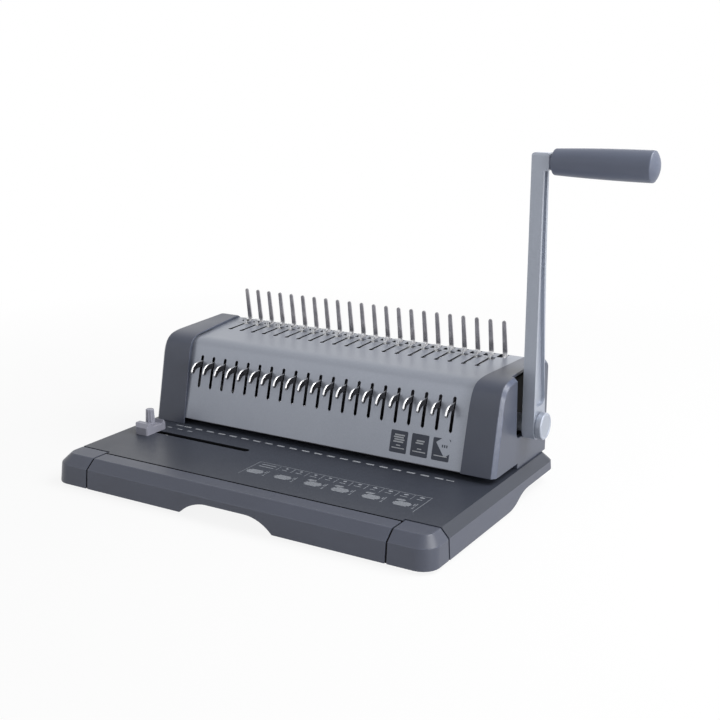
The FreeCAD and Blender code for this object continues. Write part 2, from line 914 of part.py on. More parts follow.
def press_racks():
    """Racks on the back of the press bar."""
    line_y = pivot_y - module * press_teeth / 2
    teeth = [(line_y - height, pivot_z + offset) for offset, height in rack_teeth(-2, 7)]
    low = teeth[0][1] - module
    high = teeth[-1][1] + module
    root_y = teeth[0][0]
    outline = [(bar_rear, low), (root_y, low)] + teeth + [(root_y, high), (bar_rear, high)]
    rack = side_prism(outline, press_gear_x, press_gear_x + press_gear_width)
    return Part.makeCompound(both_sides(rack))


def hook_racks():
    """Racks over the sectors, with a leg up to the hook slide."""
    line_z = pivot_z + module * hook_teeth / 2
    teeth = [(pivot_y + offset, line_z + height) for offset, height in rack_teeth(-2, 10)]
    front = teeth[0][0] - module
    rear = hook_plate_rear
    root_z = teeth[0][1]
    back_z = root_z + rack_back
    leg = [(rear, root_z), (rear, hook_plate_z), (hook_plate_front, hook_plate_z),
           (hook_plate_front - rail_height, back_z), (front, back_z)]
    rack = side_prism([(front, root_z)] + teeth + leg, hook_gear_x, hook_gear_x + hook_gear_width)
    return Part.makeCompound(both_sides(rack))


def main_shaft():
    """Hexagon shaft with round journals where it runs in the bushes."""
    hexagon = bar_x(6, shaft_radius, -frame_x - shaft_tail, arm_outer_x)
    journal = rod_x(shaft_radius, frame_x - journal_reach, frame_x + frame_thick + collar_gap)
    return joined([hexagon] + both_sides(journal))


def shaft_collars():
    """Retaining collars outside both side frames."""
    inner = frame_x + frame_thick + collar_gap
    collar = bar_x(foot_sides // 2, bush_radius, inner, inner + collar_width)
    bore = bar_x(6, shaft_radius, frame_x, end_half)
    return Part.makeCompound(both_sides(collar.cut(bore)))


def arm_outline(x, inset, low, high):
    """Side outline of the arm between two heights, drawn in from its edges."""
    front = arm_front_y + inset
    rear = arm_foot_rear - inset
    radius = arm_foot_bend - inset
    cut = radius * (1 - math.sqrt(0.5))
    rear_low = point(x, rear, low + radius)
    rear_mid = point(x, arm_mid_rear - inset, arm_mid_z)
    rear_high = point(x, arm_tip_rear - inset, high)
    foot_rear = point(x, rear - radius, low)
    foot_front = point(x, front + radius, low)
    front_low = point(x, front, low + radius)
    front_high = point(x, front, high)
    return [arc(foot_rear, point(x, rear - cut, low + cut), rear_low),
            arc(rear_low, rear_mid, rear_high), line(rear_high, front_high), line(front_high, front_low),
            arc(front_low, point(x, front + cut, low + cut), foot_front), line(foot_front, foot_rear)]


def arm_head():
    """Thick end of the arm that carries the grip, rounded at its top and outer edges."""
    head = box(arm_inner_x, arm_head_x, arm_front_y, arm_tip_rear, arm_shoulder_z, arm_top_z)
    rounded = []
    for edge in head.Edges:
        middle = edge.CenterOfMass
        if middle.z > arm_top_z - seam or (middle.x > arm_head_x - seam and middle.z < arm_shoulder_z + seam):
            rounded.append(edge)
    return head.makeFillet(arm_head_round, rounded)


def handle_arm():
    """Cast arm: tapered bar with a long groove outside, a hub at the pivot and a head for the grip."""
    width = point(arm_outer_x - arm_inner_x, 0, 0)
    shank = solid_of(arm_outline(arm_inner_x, 0, arm_foot_z, arm_top_z), width)
    groove = solid_of(arm_outline(arm_outer_x - groove_depth, groove_rim, groove_low_z, arm_shoulder_z),
                      point(2 * groove_depth, 0, 0))
    above = box(arm_inner_x - 1, 2 * arm_head_x, 0, 2 * arm_foot_rear, arm_shoulder_z, 2 * arm_top_z)
    hub = rod_x(hub_radius, well_back_x + 2 * well_wall, arm_inner_x)
    solid = joined([shank.cut([above, groove]), arm_head(), hub])
    bores = [bar_x(6, shaft_radius, 0, arm_outer_x),
             bar_x(6, spindle_radius, arm_inner_x + spindle_depth, 2 * arm_head_x, grip_y, grip_z)]
    return solid.cut(bores)


def pivot_cap():
    """Turned cap over the shaft's end."""
    return bar_x(cap_sides, cap_radius, arm_outer_x, arm_outer_x + cap_length)


def handle_grip():
    """Grip: small collar, flare, long swelling body and a domed end, bored for its spindle."""
    body_end = grip_end_x - grip_dome

    def at(x, radius):
        return point(x, grip_y, grip_z + radius)

    dome_radius = (grip_end_radius ** 2 + grip_dome ** 2) / (2 * grip_dome)
    half_turn = math.asin(grip_end_radius / dome_radius) / 2
    dome_middle = at(grip_end_x - dome_radius * (1 - math.cos(half_turn)), dome_radius * math.sin(half_turn))
    flare = at(arm_head_x + grip_collar, grip_flare_radius)
    shoulder = at(body_end, grip_end_radius)
    tip = at(grip_end_x, 0)
    outline = [at(arm_head_x, grip_collar_radius)]
    outline += runs(flare, at(grip_middle_x, grip_middle_radius), shoulder, grip_runs)
    outline += runs(shoulder, dome_middle, tip, grip_runs)[1:-1] + [at(grip_end_x, grip_tip_radius)]
    axis = point(1, 0, 0)
    body = stacked([ring(grip_sides, spot.z - grip_z, point(spot.x, grip_y, grip_z), axis)
                    for spot in outline])
    return body.cut(bar_x(6, spindle_radius, arm_inner_x, body_end - grip_dome, grip_y, grip_z))


def grip_spindle():
    """Hexagon bar that keys the grip to the arm."""
    return bar_x(6, spindle_radius, arm_inner_x + spindle_depth, grip_end_x - 2 * grip_dome, grip_y, grip_z)


def press_bar():
    """Beam across the machine with an open slot for every selector pull."""
    beam = box(-bar_half, bar_half, bar_front, bar_rear, bar_low, bar_top)
    room = pull_thick / 2 + pull_slack
    cuts = [box(pull_x(i) - room, pull_x(i) + room, 0, 2 * bar_rear, pull_low - pull_slack, 2 * bar_top)
            for i in range(hole_count)]
    cuts += [bar(post_sides, post_radius + running_gap, point(x, punch_y, 0), point(x, punch_y, 2 * bar_top))
             for x in (-post_x, post_x)]
    return beam.cut(cuts)


def punch_pins():
    """One flat pin for every hole, hanging from the press bar."""
    return Part.makeCompound(hole_cuts(pin_foot_z, bar_low, 0))


def selector_pull(index):
    """Selector pull: a flat plate out of the press bar that hooks over and down in front of the cover."""
    x = pull_x(index) - pull_thick / 2

    def spot(behind, above):
        return point(x, pull_nose_y + behind, pull_low + above)

    nose = spot(*pull_nose)
    inner = spot(*pull_inner)
    outline = [point(x, pull_rear_y, pull_low), point(x, pull_rear_y, pull_high)]
    outline += runs(point(x, pull_brow_y, pull_high), spot(*pull_brow_bulge), nose, 3)
    outline += runs(nose, spot(*pull_tip), inner, 3)[1:]
    outline += runs(inner, spot(*pull_arch), spot(*pull_neck), 2)[1:]
    return solid_of(polygon(outline), point(pull_thick, 0, 0))


def hook(index):
    """Upright strip with a flat cap across its top that catches a ring of the comb."""
    half = hook_sheet / 2
    under = hook_top_z - hook_cap_thick
    outline = [(-half, hook_plate_z), (half, hook_plate_z), (half, under), (hook_cap_right, under),
               (hook_cap_right, hook_top_z), (-hook_cap_left, hook_top_z), (-hook_cap_left, under),
               (-half, under)]
    x = row_x(index, hole_count, hook_row_x)
    return solid_of(polygon([point(x + u, hook_y, z) for u, z in outline]), point(0, hook_depth, 0))


def hook_plate():
    """Slide under the top with a hook for every ring of the comb."""
    half = frame_x - slide_gap
    plate = box(-half, half, hook_plate_front, hook_plate_rear, hook_plate_z, hook_plate_z + hook_plate_thick)
    return joined([plate] + [hook(i) for i in range(hole_count)])


def finger_notch():
    """Arched cut in the foot of the drawer's front."""
    y = 2 * base_front
    low = point(-notch_half_foot, y, wall_foot - 1)
    bulge = point(-notch_bulge_x, y, notch_bulge_z)
    shoulder = point(-notch_half_top, y, notch_top_z)
    low_flip, bulge_flip, shoulder_flip = [point(-spot.x, spot.y, spot.z) for spot in (low, bulge, shoulder)]
    below = point(-notch_half_foot, y, -wall_foot)
    below_flip = point(notch_half_foot, y, -wall_foot)
    edges = [line(below, low), arc(low, bulge, shoulder), line(shoulder, shoulder_flip),
             arc(shoulder_flip, bulge_flip, low_flip), line(low_flip, below_flip), line(below_flip, below)]
    return solid_of(edges, point(0, 2 * shell_wall - base_front, 0))


def chip_drawer():
    """Drawer: the front lip of the base between the corner caps, and a tray behind it."""
    lip = base_skin().common(drawer_room(0))
    wall_y = drawer_seam_y - tray_wall
    tray = box(-tray_half, tray_half, wall_y, tray_rear, tray_low, tray_top)
    room = box(-tray_half + tray_wall, tray_half - tray_wall, drawer_seam_y, tray_rear - tray_wall,
               tray_low + tray_wall, 2 * tray_top)
    low_rear = box(-base_half, base_half, tray_rear - 2 * tray_wall, 2 * tray_rear,
                   tray_rear_top, 2 * tray_top)
    back = box(-tray_half, tray_half, wall_y, drawer_seam_y, tray_low, deck_z - shell_wall)
    return joined([lip.cut(finger_notch()), tray.cut([room, low_rear]), back])


def stud(radius, low, high):
    """Clamping stud of the paper guide, or a hole that it turns in."""
    return bar(post_sides, radius, point(guide_x, guide_slot_y, low), point(guide_x, guide_slot_y, high))


def paper_guide():
    """Sliding edge guide: a chamfered block with a valley for its clamping knob."""
    low = deck_z + guide_float
    rear_top = guide_top - guide_rear_drop
    valley_half = knob_foot_radius + guide_valley_room
    brim_half = valley_half + guide_valley_bank
    outline = [(guide_front, low), (guide_front, guide_top - guide_slope),
               (guide_front + guide_slope, guide_top), (guide_slot_y - brim_half, guide_top),
               (guide_slot_y - valley_half, guide_valley), (guide_slot_y + valley_half, guide_valley),
               (guide_slot_y + brim_half, rear_top), (guide_rear - guide_slope, rear_top),
               (guide_rear, rear_top - guide_slope), (guide_rear, low)]
    block = side_prism(outline, guide_x - guide_half, guide_x + guide_half)
    left = guide_x - guide_half
    right = guide_x + guide_half
    uprights = ((left, guide_front, guide_corner, 1, 1), (right, guide_front, guide_chamfer, -1, 1),
                (left, guide_rear, guide_chamfer, 1, -1), (right, guide_rear, guide_chamfer, -1, -1))
    cuts = [stud(stud_radius + stud_room, 0, 2 * guide_top)]
    for x, y, size, inward_x, inward_y in uprights:
        wedge = [point(x, y, 0), point(x + inward_x * size, y, 0), point(x, y + inward_y * size, 0)]
        cuts.append(solid_of(polygon(wedge), point(0, 0, 2 * guide_top)))
    edge = [point(left, guide_front, guide_top), point(left + guide_bevel, guide_front, guide_top),
            point(left, guide_front, guide_top - guide_bevel_rise)]
    cuts.append(solid_of(polygon(edge), point(0, guide_rear - guide_front, 0)))
    return block.cut(cuts)


def guide_nut():
    """Square nut under the deck."""
    nut = box(guide_x - nut_half, guide_x + nut_half, guide_slot_y - nut_half, guide_slot_y + nut_half,
              nut_low, nut_top)
    return nut.cut(stud(stud_radius + stud_room, 0, 2 * guide_top))


def guide_knob():
    """Tapered clamping knob with grip flutes and its moulded-in stud."""
    foot = guide_valley + knob_float

    def fluted(radius, z):
        outline = []
        for step in range(2 * knob_flutes):
            reach = radius * (1 - flute_share * (step % 2))
            turn = math.pi * step / knob_flutes
            outline.append(point(guide_x + reach * math.cos(turn), guide_slot_y + reach * math.sin(turn), z))
        return outline

    body = stacked([fluted(knob_foot_radius, foot), fluted(knob_top_radius, foot + knob_height)])
    return joined([body, stud(stud_radius, nut_low, foot)])


def save(node, shape):
    """Write one node where the whole object stands centred on the origin."""
    placed = shape.copy()
    placed.translate(point(-middle_x, 0, 0))
    placed.exportStep("parts/%s.step" % node)


def main():
    os.makedirs("parts", exist_ok=True)
    right_corner, left_corner = both_sides(front_corner())
    right_frame, left_frame = both_sides(side_frame())
    nodes = {
        "base_shell": base_shell(),
        "front_corner_left": left_corner,
        "front_corner_right": right_corner,
        "bottom_plate": bottom_plate(),
        "rubber_feet": rubber_feet(),
        "side_frame_left": left_frame,
        "side_frame_right": right_frame,
        "die_plate": die_plate(),
        "punch_guide": punch_guide(),
        "paper_stop": paper_stop(),
        "front_cover": front_cover(),
        "rear_cover": rear_cover(),
        "rear_screws": rear_screws(),
        "end_cover_left": end_cover_left(),
        "end_cover_right": end_cover_right(),
        "handle_well": handle_well(),
        "tine_comb": tine_comb(),
        "shaft_bushes": shaft_bushes(),
        "tie_rods": tie_rods(),
        "hook_rails": hook_rails(),
        "guide_posts": guide_posts(),
        "press_springs": press_springs(),
        "main_shaft": main_shaft(),
        "press_pinions": press_pinions(),
        "hook_sectors": hook_sectors(),
        "shaft_collars": shaft_collars(),
        "handle_arm": handle_arm(),
        "pivot_cap": pivot_cap(),
        "handle_grip": handle_grip(),
        "grip_spindle": grip_spindle(),
        "press_bar": press_bar(),
        "press_racks": press_racks(),
        "punch_pins": punch_pins(),
        "hook_plate": hook_plate(),
        "hook_racks": hook_racks(),
        "chip_drawer": chip_drawer(),
        "paper_guide": paper_guide(),
        "guide_nut": guide_nut(),
        "guide_knob": guide_knob(),
    }
    for index in range(hole_count):
        nodes["selector_pull_%02d" % (index + 1)] = selector_pull(index)
    for node, shape in nodes.items():
        save(node, shape)


main()
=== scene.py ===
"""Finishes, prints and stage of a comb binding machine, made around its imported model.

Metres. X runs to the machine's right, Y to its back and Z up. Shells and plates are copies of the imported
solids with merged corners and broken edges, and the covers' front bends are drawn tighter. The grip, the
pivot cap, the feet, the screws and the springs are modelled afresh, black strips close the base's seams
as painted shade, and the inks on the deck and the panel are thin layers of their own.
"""
import contextlib
import json
from math import cos, pi, radians, sin, sqrt

import bpy
import numpy
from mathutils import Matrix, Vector
from mathutils.geometry import intersect_line_line

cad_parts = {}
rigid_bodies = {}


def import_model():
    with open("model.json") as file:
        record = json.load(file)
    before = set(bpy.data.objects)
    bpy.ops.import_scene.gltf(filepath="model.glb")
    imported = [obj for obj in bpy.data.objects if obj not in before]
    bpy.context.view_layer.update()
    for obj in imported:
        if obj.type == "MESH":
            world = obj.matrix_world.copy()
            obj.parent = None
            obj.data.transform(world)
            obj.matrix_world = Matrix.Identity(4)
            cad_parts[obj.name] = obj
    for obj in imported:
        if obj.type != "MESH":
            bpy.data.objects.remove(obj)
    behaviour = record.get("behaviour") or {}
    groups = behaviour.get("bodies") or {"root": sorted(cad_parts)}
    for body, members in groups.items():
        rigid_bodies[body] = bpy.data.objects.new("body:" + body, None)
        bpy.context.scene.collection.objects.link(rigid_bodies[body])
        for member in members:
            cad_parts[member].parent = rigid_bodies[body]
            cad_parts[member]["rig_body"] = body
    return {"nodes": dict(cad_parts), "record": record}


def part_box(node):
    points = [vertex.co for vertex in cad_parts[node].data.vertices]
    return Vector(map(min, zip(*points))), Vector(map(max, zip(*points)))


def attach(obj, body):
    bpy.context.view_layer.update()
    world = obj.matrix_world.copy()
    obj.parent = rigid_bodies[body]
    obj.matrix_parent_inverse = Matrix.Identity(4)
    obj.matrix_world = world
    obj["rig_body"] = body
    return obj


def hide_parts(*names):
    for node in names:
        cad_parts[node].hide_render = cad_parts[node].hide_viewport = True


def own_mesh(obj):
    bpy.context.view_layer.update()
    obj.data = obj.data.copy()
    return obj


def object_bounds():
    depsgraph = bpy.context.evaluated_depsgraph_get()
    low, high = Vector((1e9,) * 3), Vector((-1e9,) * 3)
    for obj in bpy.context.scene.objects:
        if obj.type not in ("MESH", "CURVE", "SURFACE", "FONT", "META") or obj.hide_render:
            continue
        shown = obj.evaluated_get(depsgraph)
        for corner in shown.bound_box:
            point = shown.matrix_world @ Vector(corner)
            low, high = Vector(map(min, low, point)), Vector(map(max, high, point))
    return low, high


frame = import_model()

bl_info = {
    "name": "Comb binding machine",
    "version": (1, 0, 0),
    "blender": (4, 5, 0),
    "location": "View3D > Sidebar > Machine",
    "description": "Finishes, prints and stage of a comb binding machine",
    "category": "Object",
}

MM = 0.001
NODES = frame["nodes"]
SLOT_OF = {part["node"]: part["material_slot"] for part in frame["record"]["subparts"]}
CAD_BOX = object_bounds()

# Places that the prints are measured from
BASE_LOW, BASE_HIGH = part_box("base_shell")
MIDDLE_X = (BASE_LOW.x + BASE_HIGH.x) / 2
DECK_Z = BASE_HIGH.z
DECK = Vector((MIDDLE_X, 0, DECK_Z))
PANEL_FOOT = Vector((MIDDLE_X, 10.6 * MM, 36 * MM))
PANEL_LEAN = radians(15)

# Front bends of the covers: a point and the lean of the panel, a point of the top, reach along both
TOP_SLOPE = radians(2.1)
COVER_BEND = (PANEL_FOOT, PANEL_LEAN, Vector((MIDDLE_X, 44 * MM, 115 * MM)), (34 * MM, 15 * MM))
END_BEND = (Vector((MIDDLE_X, 16.3 * MM, 70 * MM)), radians(12),
            Vector((MIDDLE_X, 44 * MM, 117.8 * MM)), (28.1 * MM, 28.1 * MM))

# Where the tines rise out of the cover
TINE_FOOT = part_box("front_cover")[1].z + 0.5 * MM

# Narrow gaps that get painted shade, as the lowest and highest corners of a box
SKIN = 0.25 * MM
GUIDE_SLOT = (DECK + Vector((-180, -28.6, -9)) * MM, DECK + Vector((-45 * MM, -21.4 * MM, -SKIN)))
DRAWER_SEAM = (Vector((BASE_LOW.x + 24 * MM, -102 * MM, DECK_Z - 9 * MM)),
               Vector((BASE_HIGH.x - 24 * MM, -98.6 * MM, DECK_Z - SKIN)))

# The comb's own pattern
HOLE_PITCH = 14.2875 * MM
HOLE_COUNT = 21

# Merging and shading of copied solids
WELD = 1e-6
FLAT = radians(0.4)
SMOOTH = radians(34)
# Attribute of the rounds that get a lighter colour, partly rubbing and partly painted highlight
RUBBED_AND_LIT = "rubbed_and_lit"


def tone(red, green, blue):
    """Linear colour from the 0 to 255 values of a colour chart."""
    return [((value / 255 + 0.055) / 1.055) ** 2.4 for value in (red, green, blue)]


def number(name, default, description, **kind):
    return bpy.props.FloatProperty(name=name, description=description, default=default, **kind)


def length(name, default, description):
    return number(name, default, description, min=0.0, precision=5, unit="LENGTH")


def fraction(name, default, description):
    return number(name, default, description, min=0.0, max=1.0, subtype="FACTOR")


def colour(name, chart, description):
    return bpy.props.FloatVectorProperty(name=name, description=description, default=tone(*chart), min=0.0,
                                         max=1.0, size=3, subtype="COLOR")


class MachineSizes(bpy.types.PropertyGroup):
    """Sizes that the looks are made with."""
    shell_edge: length("Shell edge", 0.6 * MM, "Round along the edges of the mouldings")
    sheet_edge: length("Sheet edge", 0.12 * MM, "Round along the edges of the bent cover")
    plate_edge: length("Plate edge", 0.3 * MM, "Round along the edges of small plated parts")
    pull_edge: length("Pull edge", 0.8 * MM, "Round along the edges of the selector pulls")
    bend_weight: number("Bend weight", 2.15, "How close the front bend of the covers lies to its corner",
                        min=0.8, max=6.0)
    end_edge: length("End edge", 1 * MM, "Round along the edges of the end covers")
    arm_edge: length("Arm edge", 1 * MM, "Round along the edges of the cast arm")
    grain: length("Grain", 0.4 * MM, "Size of the moulding grain")
    ink_height: length("Ink height", 0.03 * MM, "How far a print stands proud")
    dash_length: length("Dash length", 8.4 * MM, "Length of one dash of the punch row")
    dash_width: length("Dash width", 2.4 * MM, "Width of one dash of the punch row")
    dash_y: length("Dash row", 1.9 * MM, "Distance of the dash row behind the machine's origin")


class MachineColours(bpy.types.PropertyGroup):
    """Colours that the looks are made with."""
    cover: colour("Cover", (147, 152, 163), "Satin silver paint of the bent cover")
    ends: colour("End covers", (73, 78, 92), "Satin grey moulding of the end covers")
    base: colour("Base", (75, 79, 92), "Satin grey moulding of the base")
    deck: colour("Deck", (55, 59, 69), "Grained top of the base")
    arm: colour("Arm", (158, 164, 176), "Silver-grey paint of the arm")
    grip: colour("Grip", (94, 100, 116), "Satin grip")
    guide: colour("Guide", (146, 147, 159), "Light grey paper guide")
    ink: colour("Ink", (178, 182, 188), "Pale ink of the dash row and the panel")
    table_ink: colour("Table ink", (152, 156, 163), "Thin grey ink of the deck table")
    icon: colour("Icons", (72, 76, 87), "Dark ink on the panel")


def sizes():
    return bpy.context.scene.machine_sizes


def colours():
    return bpy.context.scene.machine_colours


def shaded(value, share):
    """A colour made lighter or darker, as a node's four numbers."""
    return [min(1.0, part * share) for part in value] + [1.0]


class Nodes:
    """Node tree with short calls that add and set its nodes."""

    def __init__(self, tree):
        self.tree = tree

    def feed(self, node, values):
        """Sets sockets, by name or number, to values or to other sockets."""
        for socket, value in values.items():
            if isinstance(socket, str):
                socket = socket.replace("_", " ")
            if isinstance(value, bpy.types.NodeSocket):
                self.tree.links.new(value, node.inputs[socket])
            else:
                node.inputs[socket].default_value = value

    def put(self, kind, values=None, **settings):
        node = self.tree.nodes.new("ShaderNode" + kind)
        for setting, value in settings.items():
            setattr(node, setting, value)
        self.feed(node, values or {})
        return node

    def reckon(self, operation, *values, kind="Math"):
        """Result of a calculation with numbers, or with vectors as VectorMath."""
        return self.put(kind, dict(enumerate(values)), operation=operation).outputs[0]


class Recipe(Nodes):
    """Node tree of one finish, with short calls for the patterns that it needs."""

    def __init__(self, name, **shader_values):
        self.material = bpy.data.materials.new(name)
        self.material.use_nodes = True
        super().__init__(self.material.node_tree)
        self.shader = self.tree.nodes["Principled BSDF"]
        self.coordinates = self.put("TexCoord")
        self.place = self.coordinates.outputs["Object"]
        self.feed(self.shader, shader_values)

    def noise(self, feature, detail=3.0, stretch=None):
        """Cloudy values of a feature size in metres, drawn out along an axis if asked."""
        place = self.place
        if stretch:
            place = self.put("Mapping", {"Vector": place, "Scale": stretch}).outputs["Vector"]
        return self.put("TexNoise", {"Vector": place, "Scale": 1 / feature, "Detail": detail}).outputs["Fac"]

    def spread(self, value, low=0.0, high=1.0, first=0.3, last=0.7):
        """A value's range first to last drawn onto low to high."""
        return self.put("MapRange", {"Value": value, "From Min": first, "From Max": last,
                                     "To Min": low, "To Max": high}).outputs["Result"]

    def times(self, a, b):
        return self.reckon("MULTIPLY", a, b)

    def blend(self, factor, first, second):
        """Colour between two colours."""
        return self.put("Mix", {0: factor, 6: first, 7: second}, data_type="RGBA").outputs[2]

    def mottle(self, value, base, low, high):
        """A colour between a darker and a lighter shade of its own."""
        return self.blend(self.spread(value), shaded(base, low), shaded(base, high))

    def part_of_normal(self, axis):
        return self.put("SeparateXYZ", {0: self.coordinates.outputs["Normal"]}).outputs[axis]

    def facing(self, axis):
        """How far a face looks along an axis, either way."""
        return self.reckon("ABSOLUTE", self.part_of_normal(axis))

    def inside(self, low, high):
        """One between two corners of a box and nought around it."""
        middle, half = (low + high) / 2, (high - low) / 2
        offset = self.reckon("SUBTRACT", self.place, middle, kind="VectorMath")
        reach = self.reckon("ABSOLUTE", offset, kind="VectorMath")
        beyond = self.reckon("SUBTRACT", reach, half, kind="VectorMath")
        parts = self.put("SeparateXYZ", {0: beyond}).outputs
        furthest = self.reckon("MAXIMUM", self.reckon("MAXIMUM", parts[0], parts[1]), parts[2])
        return self.reckon("LESS_THAN", furthest, 0.0)

    def edges(self):
        """One on the rounds along the piece's edges and nought on its open faces."""
        return self.put("Attribute", attribute_name=RUBBED_AND_LIT).outputs["Fac"]

    def done(self, body, roughness, skin, depth, strength, **values):
        """Sets the colour, the roughness and the fine relief of the finish, and gives its material."""
        relief = self.put("Bump", {"Height": skin, "Distance": depth, "Strength": strength})
        values.update(Base_Color=body, Roughness=roughness, Normal=relief.outputs["Normal"])
        self.feed(self.shader, values)
        return self.material


def moulded(name, base, roughness, gloss, wear=1.14, top=None, painted_shade_boxes=()):
    """Satin moulding with a fine grain, faint clouds, glossier and lighter edges, partly rubbed and partly
    painted highlight, and painted shade in narrow gaps.
    """
    recipe = Recipe(name, Specular_IOR_Level=gloss)
    grain = recipe.noise(sizes().grain, 2.0)
    clouds = recipe.noise(0.05)
    body = recipe.mottle(clouds, base, 0.95, 1.05)
    if top is not None:
        upward = recipe.spread(recipe.part_of_normal("Z"), first=0.35, last=0.5)
        body = recipe.blend(upward, body, recipe.mottle(grain, top, 0.92, 1.08))
    rubbed_and_lit = recipe.times(recipe.edges(), recipe.spread(recipe.noise(4 * MM), 0.75, 1.0))
    satin = recipe.spread(clouds, roughness - 0.05, roughness + 0.06)
    polish = recipe.spread(rubbed_and_lit, satin, 0.6 * roughness, 0.0, 1.0)
    # Lighter rounds: partly rubbing, partly a painted highlight along the edges
    body = recipe.blend(rubbed_and_lit, body, shaded(base if top is None else top, wear))
    for low, high in painted_shade_boxes:
        # Painted shade: near-black colour inside the narrow slot and seam boxes
        body = recipe.blend(recipe.inside(low, high), body, shaded(base, 0.06))
    return recipe.done(body, polish, grain, 0.04 * MM, 0.5)


def painted(name, base, roughness, metallic, wear=1.12, cut=None):
    """Satin metallic paint with small flakes, slight orange peel, rubbed and highlit edges and painted shade on
    slot walls.
    """
    recipe = Recipe(name, Metallic=metallic, Specular_IOR_Level=0.4)
    cells = recipe.put("TexVoronoi", {"Vector": recipe.place, "Scale": 1 / (0.35 * MM)})
    flakes = recipe.put("SeparateColor", {"Color": cells.outputs["Color"]}).outputs["Red"]
    clouds = recipe.noise(0.07)
    body = recipe.blend(flakes, shaded(base, 0.93), shaded(base, 1.07))
    rubbed_and_lit = recipe.times(recipe.edges(), recipe.spread(recipe.noise(6 * MM), 0.2, 1.0))
    # Lighter rounds: partly rubbing, partly a painted highlight along the edges
    body = recipe.blend(rubbed_and_lit, body, shaded(base, wear))
    # Painted shade: slot walls, which face along X, turn near-black as the slots lie in shade
    if cut is not None:
        wall = recipe.spread(recipe.facing("X"), first=0.25, last=0.5)
        body = recipe.blend(wall, body, shaded(cut, 1.0))
    satin = recipe.spread(clouds, roughness - 0.04, roughness + 0.05)
    return recipe.done(body, satin, recipe.noise(1.6 * MM, 2.0), 0.03 * MM, 0.35)


def plated(name, base, roughness, stretch=(1.0, 1.0, 0.06), metallic=1.0):
    """Bright plated steel with fine drawing lines."""
    recipe = Recipe(name, Metallic=metallic)
    lines = recipe.noise(0.25 * MM, 2.0, stretch)
    smears = recipe.spread(recipe.noise(6 * MM), roughness - 0.05, roughness + 0.08)
    return recipe.done(recipe.mottle(lines, base, 0.88, 1.1), smears, lines, 0.01 * MM, 0.4)


def tine_plate(name, base, foot):
    """Drawn steel that is dull along the tines, with painted highlights on its edges and a painted near-white
    highlight at their feet.
    """
    recipe = Recipe(name)
    height = recipe.put("SeparateXYZ", {0: recipe.place}).outputs["Z"]
    rise = recipe.spread(height, first=TINE_FOOT, last=TINE_FOOT + 3.5 * MM)
    lines = recipe.noise(0.5 * MM, 2.0, (1.0, 1.0, 0.03))
    dulled = recipe.mottle(recipe.noise(9 * MM), base, 0.8, 1.25)
    # Painted highlight: the rounds along the edges are made much lighter
    dulled = recipe.blend(recipe.times(recipe.edges(), 0.5), dulled, shaded(base, 2.2))
    # Painted highlight: the feet just above the cover turn near-white and less metallic
    body = recipe.blend(rise, shaded(foot, 1.0), dulled)
    return recipe.done(body, recipe.spread(lines, 0.26, 0.4), lines, 0.006 * MM, 0.3,
                       Metallic=recipe.spread(rise, 0.3, 0.75, 0.0, 1.0))


def highlit_plate(name, face, edge):
    """Stamped plate with painted shade on its faces and painted highlights on its edges; the faces look along
    X.
    """
    recipe = Recipe(name, Metallic=1.0)
    # Faces looking along X get the dark colour as painted shade, edges and rounds the light one as painted
    # highlight
    flat = recipe.spread(recipe.facing("X"), first=0.84, last=0.99)
    lines = recipe.noise(0.3 * MM, 2.0, (0.1, 1.0, 1.0))
    dark, bright = recipe.mottle(lines, face, 0.85, 1.15), recipe.mottle(lines, edge, 0.94, 1.05)
    shine = recipe.spread(recipe.noise(3 * MM), 0.2, 0.34)
    return recipe.done(recipe.blend(flat, bright, dark), shine, lines, 0.01 * MM, 0.4)


def dull(name, base, roughness, feature=0.6 * MM, metallic=0.0):
    """Dull rubber, sintered bronze or bare steel with a fine uneven skin."""
    recipe = Recipe(name, Metallic=metallic)
    skin = recipe.noise(feature, 4.0)
    stained = recipe.mottle(recipe.noise(12 * MM), base, 0.85, 1.15)
    uneven = recipe.spread(skin, roughness - 0.08, roughness + 0.08)
    return recipe.done(stained, uneven, skin, 0.04 * MM, 0.5)


def ink(name, base):
    """Screen ink with a slightly uneven coat."""
    recipe = Recipe(name, Specular_IOR_Level=0.2)
    coat = recipe.noise(0.5 * MM)
    body = recipe.mottle(coat, base, 0.9, 1.06)
    return recipe.done(body, recipe.spread(coat, 0.45, 0.6), coat, 0.01 * MM, 0.4)


